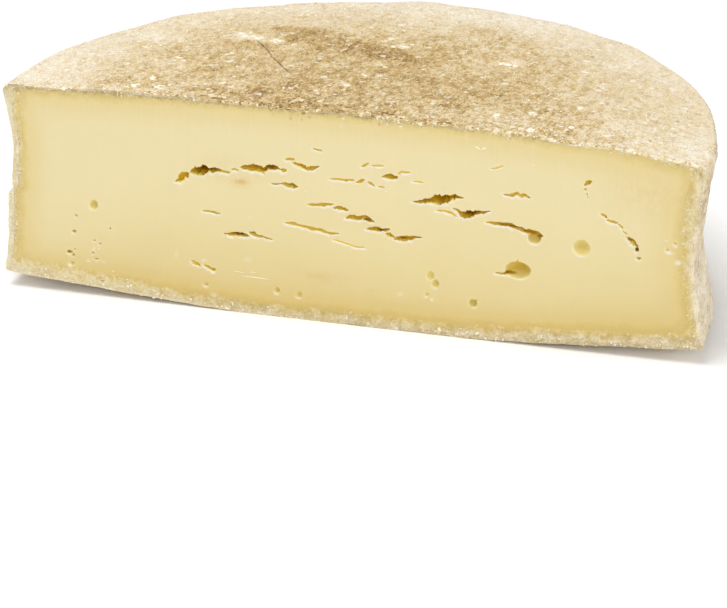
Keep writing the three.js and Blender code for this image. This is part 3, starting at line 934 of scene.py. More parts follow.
def ragged_shift(x, y):
    """Moves a place on the top about, so that no patch has a smooth outline."""
    return (9 * wave(x, y, 0, 17) + 4 * wave(x, y, 5, 6),
            7 * wave(x, y, 9, 17) + 3 * wave(x, y, 2, 6))


def bloom_on_top(points):
    """0 where the top is bare and brown, 1 where the bloom has turned it pale."""
    x, y = points[:, 0] - CUT_MIDDLE, points[:, 1] - CUT
    shift = np.array([ragged_shift(*place) for place in zip(x, y)])
    x, y = x + shift[:, 0], y + shift[:, 1]
    out = np.hypot((x - BARE_MIDDLE[0]) / BARE_REACH[0], (y - BARE_MIDDLE[1]) / BARE_REACH[1])
    bloom = BARE + RIM_GAIN * between(0.35, 1.15, out)
    for middle_x, middle_y, long, deep, more in PATCHES:
        near = ((x - middle_x) / long) ** 2 + ((y - middle_y) / deep) ** 2
        bloom += PATCH_STRENGTH * more * np.exp(-near)
    return bloom


print(len(PATCHES), "patches on the top")


# %% The small bodies
SEED = 1307
draws = random.Random(SEED)


def lump(name, subdivisions, jag):
    """A pebble of unit size with its corners pushed about."""
    bpy.ops.mesh.primitive_ico_sphere_add(subdivisions=subdivisions, radius=1)
    piece = newest(name)
    pushed = np.array([[draws.uniform(1 - jag, 1 + jag)] for _ in piece.data.vertices])
    move_vertices(piece, vertices(piece) * pushed)
    return piece


def sliver(name, corners):
    """A flat flake of unit size with an uneven outline, thinner at its border."""
    bpy.ops.mesh.primitive_cylinder_add(vertices=corners, radius=1, depth=0.6, end_fill_type="NGON")
    piece = newest(name)
    select_faces(piece, face_values(piece, "normal")[:, 2] > 0.9)
    bpy.ops.mesh.inset(thickness=0.35)
    bpy.ops.transform.translate(value=(0, 0, 0.25))
    close_edit()
    shaped = vertices(piece) * MM
    for corner in range(corners):
        around = np.isclose(np.arctan2(shaped[:, 0], shaped[:, 1]) % (2 * math.pi),
                            2 * math.pi * corner / corners, atol=0.02)
        shaped[around, :2] *= draws.uniform(0.6, 1.15)
    move_vertices(piece, shaped / MM)
    return piece


def body_of_mesh(piece):
    """A small body's vertices in units of its size, with its faces; the object itself is removed."""
    body = vertices(piece) * MM, [tuple(face.vertices) for face in piece.data.polygons]
    remove(piece)
    return body


GRAINS = [body_of_mesh(lump("grain", 1, 0.35)) for _ in range(6)]
CRUMBS = [body_of_mesh(lump("crumb", 2, 0.22)) for _ in range(4)]
FLAKES = [body_of_mesh(sliver("flake", corners)) for corners in (7, 8, 9, 10)]
print("bodies:", len(GRAINS), "grains,", len(CRUMBS), "crumbs,", len(FLAKES), "flakes")

# %% Copying bodies into one mesh
LOOSE_MARGIN = 0.03                              # how far the loose bits stay inside the solid's box
EDGE_BLOOM = 0.62                                # how pale the bits are that lie below the cut's top edge


def copies(name, spots):
    """One mesh of copies, each given by its body, place, size along each axis, facing, turn and paleness."""
    all_places, all_faces, all_lifts, count = [], [], [], 0
    for (places, faces), place, size, facing, turn, lift in spots:
        up = np.array(facing) / np.linalg.norm(facing)
        east = np.array([1, 0, 0]) - up * up[0]
        east = east / np.linalg.norm(east)
        north = np.cross(up, east)
        turned = np.column_stack((east * math.cos(turn) + north * math.sin(turn),
                                  north * math.cos(turn) - east * math.sin(turn), up))
        all_places.append((places * size) @ turned.T + place)
        all_faces.extend(tuple(count + corner for corner in face) for face in faces)
        all_lifts.extend([lift] * len(places))
        count += len(places)
    points = np.concatenate(all_places)
    low = np.array(cad_low) / MM + LOOSE_MARGIN
    high = np.array(cad_high) / MM - LOOSE_MARGIN
    mesh = bpy.data.meshes.new(name)
    mesh.from_pydata((np.clip(points, low, high) * MM).tolist(), [], all_faces)
    piece = bpy.data.objects.new(name, mesh)
    bpy.context.scene.collection.objects.link(piece)
    places = np.array([spot[1] for spot in spots])
    below_top = between(1.5, 6, rind_distances(places)[1])
    bloom = bloom_on_top(places) * (1 - below_top) + EDGE_BLOOM * below_top
    give_attribute(piece, "bloom", np.repeat(bloom, [len(spot[0][0]) for spot in spots]))
    give_attribute(piece, "lift", all_lifts)
    print(name + ":", len(all_places), "copies,", triangles(piece), "triangles")
    return piece


# %% Grains and crumbs along the borders of the cut
def cut_point(x, z, proud):
    return np.array([x, CUT - proud, z])


def clump(x, z, size):
    """A slow wave between 0 and 1 that gathers the crumbs into clumps."""
    slow = np.sin(x / size + 2 * np.sin(z / size * 1.3)) + np.sin(x / size * 2.7 + 1.3)
    return np.clip(0.5 + 0.3 * slow, 0, 1)


def cleaner_left(x):
    """0 to 1 towards the left end, where the knife left a neater edge."""
    return between(-50, -95, x)


def cleaner_right(x):
    """0 to 1 towards the right end, where fewer bits broke off."""
    return between(30, 100, x)


CANDIDATES = 200000
SMALL_GRAIN = 0.42                               # up to this size a grain's body is fine enough
FULL_TURN = 6.28
OUT_OF_CUT = (0, -1, 0)

dice = np.random.default_rng(SEED)
x, z = dice.uniform(-150, 150, CANDIDATES), dice.uniform(0, 93, CANDIDATES)
side, top, under = rind_distances(np.column_stack((x, np.full_like(x, CUT), z)))
heap = clump(x, z, 7)
band = side_band(x, z)
far_right = between(60, 110, x)
at_top = np.exp(-top / (0.4 + 0.8 * heap ** 2)) * (0.3 + 0.7 * heap)
at_top *= 1 - 0.6 * cleaner_right(x) - 0.4 * cleaner_left(x)
at_under = 0.9 * np.clip(1 - under / (2.6 + 4 * heap ** 2), 0, 1) * (0.35 + 0.65 * heap)
at_side = 0.16 * (side < band) + 0.24 * np.exp(-((side - band) / 1.3) ** 2) * clump(x, z, 3)
chance = np.maximum(np.maximum(at_top, at_under), at_side)
chance[np.min((side, top, under), axis=0) < 0.1] = 0
from_top = at_top == chance
size = np.where(from_top, 0.24 - 0.1 * far_right - 0.08 * cleaner_left(x),
                np.where(at_side == chance, 0.13, 0.17))
size = np.minimum(0.9, size * (0.6 + dice.exponential(0.6, CANDIDATES)))
lift = np.where(from_top, 0.12 + 0.1 * far_right, 0.16) + dice.uniform(-0.27, 0.27, CANDIDATES)
grain_spots = []
for index in np.nonzero(dice.random(CANDIDATES) < chance)[0]:
    body = draws.choice(GRAINS if size[index] < SMALL_GRAIN else CRUMBS)
    stretch = np.array([draws.uniform(0.8, 1.5), draws.uniform(0.6, 1), 0.7])
    place = cut_point(x[index], z[index], draws.uniform(-0.5, 0.3) * size[index])
    turn = draws.uniform(0, FULL_TURN)
    grain_spots.append((body, place, size[index] * stretch, OUT_OF_CUT, turn, lift[index]))
print("grains along the borders:", len(grain_spots))

# %% Chips on the cut, each in its own place
# Each is x, z, length, width and how far its right end rises, in degrees.
CHIPS = [(52.2, 83.3, 2.6, 0.6, -32), (54.5, 83.4, 2.2, 0.7, 20), (-4, 90, 1.1, 0.5, 0),
         (20, 89.2, 1.5, 0.6, 10), (131, 47.2, 1.0, 0.5, 20), (133.6, 50, 0.8, 0.5, -20),
         (134.8, 43.4, 1.3, 0.6, 10), (130, 52.3, 0.8, 0.4, 0), (-123, 12.4, 1.5, 0.6, 10),
         (-115, 15.3, 1.3, 0.6, -20), (-104, 12, 0.9, 0.4, 5), (-98, 9, 1.0, 0.4, 0),
         (-64, 21.8, 0.8, 0.4, 0), (-60, 16.2, 0.9, 0.4, 10), (-20, 57, 0.9, 0.4, -10),
         (14, 60.5, 0.8, 0.4, 0), (-110, 21.5, 0.9, 0.4, 30), (-41.4, 16.4, 12.4, 0.34, -1.5),
         (-49, 18.1, 4.6, 0.25, -5), (-43, 18.6, 2.6, 0.2, -4), (-5, 86.5, 0.9, 0.4, 0),
         (75, 78.5, 1.0, 0.4, 15)]
CHIP_THICKNESS, CHIP_PROUD, CHIP_LIFT = 0.15, 0.02, 0.4
for x, z, length, width, rise in CHIPS:
    size = np.array([length / 2, width / 2, CHIP_THICKNESS])
    place = cut_point(x + CUT_MIDDLE, z, CHIP_PROUD)
    grain_spots.append((draws.choice(CRUMBS), place, size, OUT_OF_CUT, math.radians(rise), CHIP_LIFT))
crumbs = copies("crumbs", grain_spots)

# %% Flakes along the top edge and over the top
skin_tree = BVHTree.FromObject(rind, bpy.context.evaluated_depsgraph_get())


def on_top(x, y):
    """The skin's place and facing below a point over the top, in millimetres, or None past its edge."""
    place, facing, _, _ = skin_tree.ray_cast(Vector((x, y, 120)) * MM, Vector((0, 0, -1)))
    return (np.array(place) / MM, facing) if place else None


def lying(bodies, x, y, length, width, thick, tilt, lift):
    """One loose body on the skin below x and y, turned and tilted at random, or None past the rim."""
    found = on_top(x, y)
    turn, lean = draws.gauss(0, 0.6), Vector((draws.gauss(0, tilt), draws.gauss(0, tilt), 0))
    body = draws.choice(bodies)
    if found is None or found[1].z < 0.6:
        return None
    place, facing = found
    sunk_place = place - np.array([0, 0, 0.3 * thick])
    return body, sunk_place, np.array([length / 2, width / 2, thick]), facing + lean, turn, lift


def pale_or_brown(share, pale, brown):
    return draws.uniform(*pale) if draws.random() < share else draws.uniform(*brown)


# Broken rind along the edge of the cut, in heaps.
EDGE_BITS = 1700
EDGE_PALE, EDGE_BROWN = (0, 0.36), (-0.45, -0.05)

flake_spots = []
for _ in range(EDGE_BITS):
    x = draws.uniform(-147, 146)
    heap = clump(x, 0, 5) * (1 - 0.6 * cleaner_right(x) - 0.5 * cleaner_left(x))
    length = min(3.8, 0.6 + draws.expovariate(1.9 - 0.8 * heap)) * (1 - 0.3 * cleaner_left(x))
    width = length * draws.uniform(0.4, 0.85)
    y = CUT + 0.3 * width + abs(draws.gauss(0, 0.4 + 2.4 * heap))
    flat = draws.random() < 0.3
    thick = draws.uniform(0.15, 0.4) if flat else width * draws.uniform(0.3, 0.5)
    bodies = FLAKES if flat else CRUMBS if length > 1.5 else GRAINS
    lift = pale_or_brown(0.45, EDGE_PALE, EDGE_BROWN)
    flake_spots.append(lying(bodies, x, y, length, width, thick, 0.25, lift))
print("broken rind along the edge:", len(flake_spots))

# %% Flakes, scabs and white patches over the top
BLOOM_FLAKES = 900
TOP_REACH = 146                                  # how far right, left and back the draws reach

# Dark scabs: x, distance behind the cut, length.
SCABS = [(-37, 33, 2.2), (-38.5, 34, 1.4), (12, 5, 3.4), (15, 4, 2.4), (-4, 7, 3), (-1, 6, 2.2),
         (-24, 3, 2.4), (40, 38, 2.2), (31, 22, 2.4), (-20, 8, 2), (22, 30, 1.8), (-60, 20, 1.6),
         (-43, 15, 2.2), (86, 12, 2)]
SCAB_THICKNESS, SCAB_LIFT = 0.15, -0.7

# White patches of bloom that stand out, each a group of flakes: x, distance behind the cut, length.
WHITE_PATCHES = [(43, 81, 6), (69, 24, 4), (71, 5, 4), (85, 15, 4.5), (85, 37, 3.5), (85, 97, 3),
                 (-4, 90, 6), (56, 19, 4.5), (-63, 22, 3.2), (-70, 58, 4), (-89, 57, 3.5), (-60, 42, 3),
                 (-83, 10, 5), (-96, 7, 6), (-9, 47, 3.5), (-65, 82, 6), (-72, 83, 6), (-56, 81, 5),
                 (-6, 60, 4), (-91, 19, 4), (-90, 43, 5)]
FLAKES_IN_PATCH, PATCH_THICKNESS = 5, 0.12

for _ in range(BLOOM_FLAKES):
    x, y = draws.uniform(-TOP_REACH, TOP_REACH), CUT + draws.triangular(1, 150, 1)
    if draws.random() > 0.25 + 0.75 * clump(x, y, 11):
        continue
    length = min(4, 0.7 + draws.expovariate(1.2))
    width, thick = length * draws.uniform(0.5, 1), draws.uniform(0.08, 0.2)
    lift = draws.triangular(-0.05, 0.4, 0.2)
    flake_spots.append(lying(FLAKES, x, y, length, width, thick, 0.05, lift))
for x, y, length in SCABS:
    flake_spots.append(lying(CRUMBS, x + CUT_MIDDLE, CUT + y, length, 0.7 * length, SCAB_THICKNESS, 0,
                             SCAB_LIFT))
for x, y, length in WHITE_PATCHES:
    for _ in range(FLAKES_IN_PATCH):
        part = length * draws.uniform(0.4, 0.75)
        at_x = x + CUT_MIDDLE + draws.gauss(0, 0.3 * length)
        at_y = CUT + y + draws.gauss(0, 0.3 * length)
        lift = draws.uniform(0.45, 0.7)
        flake_spots.append(lying(FLAKES, at_x, at_y, part, 0.8 * part, PATCH_THICKNESS, 0, lift))
flakes = copies("flakes", [spot for spot in flake_spots if spot])

# %% [markdown]
# The skin of the top is mealy all over: grains of dried mould, each about as big as a grain of sugar.
# A bump would show them, but not at the rim and not in a model that is only a mesh, so they are
# copies too. Half of them are paler than the skin below and half are browner.

# %% Meal all over the top
MEAL_GRAINS = 11600
MEAL_PALE, MEAL_BROWN = (0.05, 0.32), (-0.24, 0)

meal_spots = []
for _ in range(MEAL_GRAINS):
    x, y = draws.uniform(-TOP_REACH, TOP_REACH), CUT + draws.uniform(0.5, TOP_REACH)
    length = min(1.5, 0.5 + draws.expovariate(4.5))
    width, thick = length * draws.uniform(0.7, 1), length * draws.uniform(0.22, 0.38)
    lift = pale_or_brown(0.5, MEAL_PALE, MEAL_BROWN)
    meal_spots.append(lying(GRAINS, x, y, length, width, thick, 0.1, lift))
meal_grains = copies("meal", [spot for spot in meal_spots if spot])

# %% [markdown]
# ## Measures on the rind
#
# Old rind has a colour for every place: brown in the middle of the top, pale with bloom near the
# rim, greyer on the side, tan at the foot. A shader on its own can't know where the rim is, so each
# vertex stores how pale it is, how much it belongs to the side, and the like.

# %% What the rind's material will read
def rind_measures(points, normals):
    angle, radius, height = polar(points)
    around = np.degrees(angle)
    from_rim = np.hypot(top_height(radius, angle) - height, outline_radius(angle) - radius)
    return {
        "bloom": bloom_on_top(points),
        "tanned": tanned(points),
        "on cut": between(0.55, 0.95, -normals[:, 1]) * (points[:, 1] < CUT + 1.5),
        "broken edge": between(6, 1, points[:, 1] - CUT) * between(0.5, 0.8, normals[:, 2]),
        "folded": between(FOLDS_FROM, -5, around) * between(60, -10, around),
        "side": between(0.3, 0.85, np.hypot(normals[:, 0], normals[:, 1])),
        "foot": between(16, 4, height),
        "browned side": between(34, 66, height) * between(50, 130, points[:, 0]),
        "rim": between(6, 1, from_rim),
    }


for name, values in rind_measures(vertices(rind), vertex_normals(rind)).items():
    give_attribute(rind, name, values)
    print(name, "goes from", values.min().round(2), "to", values.max().round(2))

# %% [markdown]
# ## Materials
#
# The materials share some effects: a mealy grain, ragged flecks, small spots, upright cracks and the
# grainy band along the border of the cut. Each is made once as a node group that takes a place and
# some numbers, and gives back a mask, a shade or a colour. All patterns read Object coordinates, so
# they stay put on the piece.

# %% Colours and a short way to build nodes
def srgb(red, green, blue):
    """A colour as a screen shows it, 0 to 255, in the linear values that shaders use."""
    parts = [value / 255 for value in (red, green, blue)]
    return tuple(p / 12.92 if p <= 0.04045 else ((p + 0.055) / 1.055) ** 2.4 for p in parts) + (1,)


LIGHT_GAIN = 1.16            # how much brighter the studio light shows a colour on the cut


def shown(red, green, blue):
    """The colour to paint so that the cut shows this one."""
    return tuple(part / LIGHT_GAIN for part in srgb(red, green, blue)[:3]) + (1,)


PER_METRE = 1000.0           # millimetres


class Nodes:
    """Adds nodes to one tree; values and sockets can be given alike."""

    def __init__(self, tree):
        self.tree = tree
        tree.nodes.clear()

    def feed(self, socket, value):
        if isinstance(value, bpy.types.NodeSocket):
            self.tree.links.new(value, socket)
        else:
            socket.default_value = value

    def add(self, kind, inputs=(), **settings):
        node = self.tree.nodes.new("ShaderNode" + kind)
        for key, value in settings.items():
            setattr(node, key, value)
        for key, value in dict(inputs).items():
            self.feed(node.inputs[key], value)
        return node

    def math(self, operation, *values):
        node = self.add("Math", operation=operation)
        for socket, value in zip(node.inputs, values):
            self.feed(socket, value)
        return node.outputs[0]

    def times(self, first, second):
        return self.math("MULTIPLY", first, second)

    def total(self, *values):
        result = values[0]
        for value in values[1:]:
            result = self.math("ADD", result, value)
        return result

    def swing(self, value, amount):
        """A 0 to 1 value turned into one that swings round zero by the amount."""
        return self.math("MULTIPLY_ADD", value, 2 * amount, -amount)

    def ease(self, value, low, high, to_low=0.0, to_high=1.0):
        node = self.add("MapRange", {"Value": value, "From Min": low, "From Max": high, "To Min": to_low,
                                     "To Max": to_high}, interpolation_type="SMOOTHSTEP")
        return node.outputs["Result"]

    def blend(self, share, first, second, mode="MIX"):
        node = self.add("Mix", data_type="RGBA", blend_type=mode)
        self.feed(node.inputs[0], share)
        self.feed(node.inputs[6], first)
        self.feed(node.inputs[7], second)
        return node.outputs[2]

    def coat(self, colour, mask, share, paint):
        """Lays a paint over the colour where the mask says, at most by that share."""
        return self.blend(self.times(mask, share), colour, paint)

    def noise(self, place, size, detail=2.0, roughness=0.5, distortion=0.0):
        """Soft noise with patches of about that many millimetres."""
        given = isinstance(size, bpy.types.NodeSocket)
        scale = self.math("DIVIDE", PER_METRE, size) if given else PER_METRE / size
        node = self.add("TexNoise", {"Vector": place, "Scale": scale, "Detail": detail,
                                     "Roughness": roughness, "Distortion": distortion})
        return node.outputs["Fac"]

    def patches(self, place, size):
        """Ragged noise drawn apart, so that it fills 0 to 1."""
        return self.ease(self.noise(place, size, 3, 0.65, 0.3), 0.33, 0.67)

    def line_coordinates(self, place, start, end):
        """Millimetres along and across a line on the top, from its start."""
        way = (Vector(end) - Vector(start)).normalized()
        origin = (start[0] * MM, start[1] * MM, 0)
        moved = self.add("VectorMath", {0: place, 1: origin}, operation="SUBTRACT")
        results = []
        for direction in ((way.x, way.y, 0), (-way.y, way.x, 0)):
            dot = self.add("VectorMath", {0: moved.outputs[0], 1: direction}, operation="DOT_PRODUCT")
            results.append(self.times(dot.outputs["Value"], PER_METRE))
        return results

    def ramp(self, value, stops):
        node = self.add("ValToRGB", {"Fac": value})
        points = node.color_ramp.elements
        for place, colour in stops[2:]:
            points.new(place)
        for point, (place, colour) in zip(points, sorted(stops)):
            point.position = place
            point.color = colour
        return node.outputs["Color"]

    def attribute(self, name):
        return self.add("Attribute", attribute_name=name).outputs["Fac"]

    def group(self, tree, **inputs):
        node = self.add("Group", node_tree=tree)
        for key, value in inputs.items():
            self.feed(node.inputs[key], value)
        return node.outputs[0]


def new_group(name, inputs, output, kind="Float"):
    """An empty node group with a Place input, named number inputs and one output."""
    tree = bpy.data.node_groups.new(name, "ShaderNodeTree")
    nodes = Nodes(tree)
    tree.interface.new_socket("Place", in_out="INPUT", socket_type="NodeSocketVector")
    for key, value in inputs.items():
        tree.interface.new_socket(key, in_out="INPUT", socket_type="NodeSocketFloat").default_value = value
    tree.interface.new_socket(output, in_out="OUTPUT", socket_type="NodeSocket" + kind)
    given = tree.nodes.new("NodeGroupInput")
    result = tree.nodes.new("NodeGroupOutput")
    return tree, nodes, given.outputs, result.inputs[output]


# %% Shared effects as node groups
mealy, nodes, given, result = new_group("Mealy grain", {"Size": 1.0}, "Shade")
fine = nodes.noise(given["Place"], given["Size"], 3, 0.7)
coarse = nodes.noise(given["Place"], nodes.times(given["Size"], 2.6), 2, 0.6)
both = nodes.total(nodes.times(fine, 0.62), nodes.times(coarse, 0.38))
nodes.feed(result, nodes.ease(both, 0.36, 0.64))

flecks, nodes, given, result = new_group("Ragged flecks", {"Size": 2.0, "Cover": 0.2}, "Mask")
torn = nodes.noise(given["Place"], nodes.times(given["Size"], 0.25), 1, 0.5)
soft = nodes.noise(given["Place"], given["Size"], 1, 0.5)
threshold = nodes.math("MULTIPLY_ADD", given["Cover"], -0.4, 0.72)
whole = nodes.ease(nodes.math("SUBTRACT", soft, threshold), -0.03, 0.05)
nodes.feed(result, nodes.times(whole, nodes.ease(torn, 0.42, 0.56, 0.25, 1.0)))

spots, nodes, given, result = new_group("Small spots", {"Size": 5.0, "Share": 0.4, "Width": 0.8}, "Mask")
bent = nodes.add("VectorMath", operation="ADD")
wobble = nodes.add("TexNoise", {"Vector": given["Place"], "Scale": 900.0, "Detail": 1.0})
shift = nodes.add("VectorMath", {"Scale": 0.0018}, operation="SCALE")
nodes.feed(shift.inputs[0], wobble.outputs["Color"])
nodes.feed(bent.inputs[0], given["Place"])
nodes.feed(bent.inputs[1], shift.outputs[0])
per_metre = nodes.math("DIVIDE", PER_METRE, given["Size"])
cells = nodes.add("TexVoronoi", {"Vector": bent.outputs[0], "Scale": per_metre, "Randomness": 1.0})
luck = nodes.add("SeparateColor", {"Color": cells.outputs["Color"]})
picked = nodes.math("LESS_THAN", luck.outputs[0], given["Share"])
reach = nodes.math("DIVIDE", given["Width"], given["Size"])
drawn = nodes.times(reach, nodes.math("MULTIPLY_ADD", luck.outputs[1], 0.6, 0.25))
inside_spot = nodes.ease(nodes.math("DIVIDE", cells.outputs["Distance"], drawn), 1.0, 0.6)
nodes.feed(result, nodes.times(inside_spot, picked))

cracks, nodes, given, result = new_group("Upright cracks", {"Size": 2.4}, "Mask")
drawn_out = nodes.add("Mapping", {"Vector": given["Place"], "Scale": (1.0, 1.0, 0.13)}).outputs[0]
streaks = nodes.noise(drawn_out, given["Size"], 2, 0.6, 0.4)
ridge = nodes.math("ABSOLUTE", nodes.math("SUBTRACT", streaks, 0.5))
somewhere = nodes.ease(nodes.noise(given["Place"], 7, 1), 0.48, 0.64)
nodes.feed(result, nodes.times(nodes.ease(ridge, 0.06, 0.015), somewhere))

grainy_band, nodes, given, result = new_group("Grainy band", {"Depth": 2.0, "Tan": 0.0}, "Colour", "Color")
meal = nodes.group(mealy, Place=given["Place"], Size=0.8)
tone = nodes.total(nodes.ease(given["Depth"], -0.5, 4.0, 0.12, 0.74), nodes.swing(meal, 0.22),
                   nodes.swing(nodes.patches(given["Place"], 4), 0.25))
cream = nodes.ramp(tone, [(0.0, shown(225, 198, 122)), (0.3, shown(236, 212, 143)),
                          (0.6, shown(243, 223, 164)), (1.0, shown(254, 242, 205))])
tan = nodes.ramp(tone, [(0.0, shown(170, 144, 90)), (0.35, shown(202, 178, 124)),
                        (0.7, shown(224, 204, 158)), (1.0, shown(242, 230, 202))])
colour = nodes.blend(given["Tan"], cream, tan)
gap = nodes.group(spots, Place=given["Place"], Size=2.3, Share=0.4, Width=1.1)
colour = nodes.coat(colour, gap, 0.4, shown(202, 174, 114))
speck = nodes.group(spots, Place=given["Place"], Size=1.15, Share=0.5, Width=0.95)
speck = nodes.times(speck, nodes.math("MULTIPLY_ADD", given["Tan"], -0.3, 0.55))
nodes.feed(result, nodes.blend(speck, colour, shown(248, 239, 213)))
print("shared effects:", ", ".join(tree.name for tree in (mealy, flecks, spots, cracks, grainy_band)))


# %% A new material
def new_material(name):
    material = bpy.data.materials.new(name)
    material.use_nodes = True
    nodes = Nodes(material.node_tree)
    shader = nodes.add("BsdfPrincipled")
    output = nodes.add("OutputMaterial")
    nodes.feed(output.inputs["Surface"], shader.outputs["BSDF"])
    place = nodes.add("TexCoord").outputs["Object"]
    return material, nodes, shader, place


def bump(nodes, shader, height, distance, strength=1.0):
    node = nodes.add("Bump", {"Height": height, "Distance": distance * MM, "Strength": strength})
    nodes.feed(shader.inputs["Normal"], node.outputs["Normal"])


# %% [markdown]
# ### The rind's material
#
# The top goes from brown through tan to cream, by the bloom stored on the vertices and noise of
# four sizes, so that no patch has a clean edge. The side is paler, and browned at the right. Over both
# go flecks and flakes of old mould, and dark spots. One long scratch crosses the top.

# %% Rind: how pale it is from place to place
TOP_STOPS = [(0.0, srgb(142, 107, 60)), (0.28, srgb(191, 161, 104)), (0.5, srgb(218, 194, 148)),
             (0.75, srgb(230, 214, 184)), (1.0, srgb(242, 233, 215))]
SIDE_STOPS = [(0.0, srgb(168, 142, 100)), (0.3, srgb(205, 185, 150)), (0.5, srgb(223, 208, 181)),
              (0.75, srgb(235, 223, 201)), (1.0, srgb(246, 239, 225))]
SCRATCH = ((-65, 78), (-38, 38))                 # from and to, as x and the distance behind the cut

rind_material, nodes, shader, place = new_material("dry mottled rind")
side = nodes.attribute("side")
foot = nodes.attribute("foot")
rim = nodes.attribute("rim")
on_cut = nodes.attribute("on cut")
brushed = nodes.add("Mapping", {"Vector": place, "Scale": (1.35, 0.75, 1)}).outputs[0]
grain = nodes.group(mealy, Place=brushed, Size=0.9)
mottle = nodes.total(nodes.swing(nodes.patches(place, 28), 0.06),
                     nodes.swing(nodes.patches(brushed, 9), 0.09),
                     nodes.swing(nodes.patches(brushed, 3.2), 0.09), nodes.swing(grain, 0.17))
axes = nodes.add("SeparateXYZ", {"Vector": place})
near_cut = nodes.ease(nodes.math("MULTIPLY_ADD", axes.outputs["Y"], PER_METRE, -CUT), 50, 8)
bloom = nodes.attribute("bloom")
calmer = nodes.ease(bloom, 0.42, 0.85, 1.1, 0.6)
stronger = nodes.times(calmer, nodes.math("MULTIPLY_ADD", near_cut, 0.35, 1.0))
top_tone = nodes.total(bloom, nodes.times(mottle, stronger))
level = nodes.add("Mapping", {"Vector": place, "Scale": (0.1, 0.1, 1.0)}).outputs[0]
stripes = nodes.swing(nodes.patches(level, 7), 0.06)
darker = nodes.ease(nodes.patches(place, 13), 0, 1, -0.34, -0.12)
browned = nodes.times(nodes.attribute("browned side"), darker)
side_tone = nodes.total(0.59, mottle, nodes.swing(nodes.patches(place, 15), 0.07), nodes.times(foot, -0.06),
                        browned, stripes, nodes.times(rim, 0.12))
colour = nodes.blend(side, nodes.ramp(top_tone, TOP_STOPS), nodes.ramp(side_tone, SIDE_STOPS))
print(len(nodes.tree.nodes), "nodes for the tone of the rind")

# %% Rind: blotches, flecks, flakes, spots and cracks
blotch = nodes.times(nodes.group(flecks, Place=place, Size=4.5, Cover=0.3), side)
colour = nodes.coat(colour, blotch, 0.45, srgb(184, 160, 110))
rusty = nodes.times(nodes.ease(nodes.noise(place, 11, 3, 0.7), 0.5, 0.68), rim)
colour = nodes.coat(colour, rusty, 0.45, srgb(214, 176, 104))
shifted = {"Vector": place, "Location": (0.3, 0.1, 0.2), "Scale": (1, 0.8, 1)}
elsewhere = nodes.add("Mapping", shifted).outputs[0]
brown = nodes.group(flecks, Place=elsewhere, Size=3.0, Cover=0.3)
brown = nodes.times(brown, calmer)
colour = nodes.coat(colour, brown, nodes.ease(side, 0, 1, 0.45, 0.25), srgb(160, 126, 74))
cover = nodes.ease(nodes.noise(place, 15, 2, 0.6), 0.42, 0.6, 0.08, 0.36)
pale = nodes.group(flecks, Place=brushed, Size=3.4, Cover=cover)
colour = nodes.coat(colour, pale, 0.55, srgb(245, 234, 208))
clumps = nodes.total(nodes.ease(nodes.noise(place, 22, 2, 0.6), 0.44, 0.6, 0.1, 0.5),
                     nodes.times(near_cut, 0.22))
flake = nodes.group(spots, Place=place, Size=5.0, Share=clumps, Width=2.4)
small_flake = nodes.group(spots, Place=place, Size=2.2, Share=nodes.times(clumps, 0.7), Width=1.3)
flake = nodes.times(nodes.math("MAXIMUM", flake, small_flake), nodes.ease(side, 0, 1, 1.0, 0.4))
colour = nodes.coat(colour, flake, 0.72, srgb(248, 240, 220))
broken = nodes.attribute("broken edge")
# Brown gaps along the broken top edge: partly the browner torn rind, partly painted shade between the broken
# bits.
gap = nodes.ease(nodes.patches(brushed, 2.8), 0.45, 0.8)
colour = nodes.coat(colour, nodes.times(gap, broken), 0.5, srgb(164, 130, 76))
crumb = nodes.group(spots, Place=brushed, Size=1.9, Share=0.5, Width=1.5)
colour = nodes.coat(colour, nodes.times(crumb, broken), 0.45, srgb(238, 224, 192))
dark = nodes.group(spots, Place=place, Size=5.5, Share=0.35, Width=1.1)
colour = nodes.coat(colour, dark, 0.55, srgb(132, 100, 58))
speck = nodes.group(spots, Place=place, Size=2.0, Share=0.3, Width=0.55)
colour = nodes.coat(colour, speck, 0.4, srgb(146, 122, 76))
crack = nodes.times(nodes.group(cracks, Place=place, Size=2.4),
                   nodes.times(nodes.attribute("folded"), side))
colour = nodes.coat(colour, crack, 0.6, srgb(168, 136, 90))
tan = nodes.attribute("tanned")
band = nodes.group(grainy_band, Place=place, Depth=nodes.math("MULTIPLY_ADD", tan, -4.0, 5.0), Tan=tan)
colour = nodes.blend(on_cut, colour, band)
print(len(nodes.tree.nodes), "nodes with the spots and cracks")

# %% Rind: the long scratch
start, end = ((x + CUT_MIDDLE, CUT + y) for x, y in SCRATCH)
length = math.hypot(SCRATCH[1][0] - SCRATCH[0][0], SCRATCH[1][1] - SCRATCH[0][1])
along, across = nodes.line_coordinates(place, start, end)
waver = nodes.swing(nodes.noise(place, 9, 2), 1.2)
off_line = nodes.math("ABSOLUTE", nodes.math("ADD", across, waver))
ends = nodes.times(nodes.ease(along, -1, 3), nodes.ease(along, length + 1, length - 3))
scratch = nodes.times(nodes.times(nodes.ease(off_line, 0.6, 0.2), ends),
                     nodes.ease(nodes.noise(place, 5, 2), 0.35, 0.5, 0.6, 1.0))
scratch = nodes.times(scratch, nodes.ease(side, 0.3, 0))
colour = nodes.coat(colour, scratch, 0.8, srgb(126, 96, 42))
nodes.feed(shader.inputs["Base Color"], colour)
print("the scratch is", round(length), "mm long")

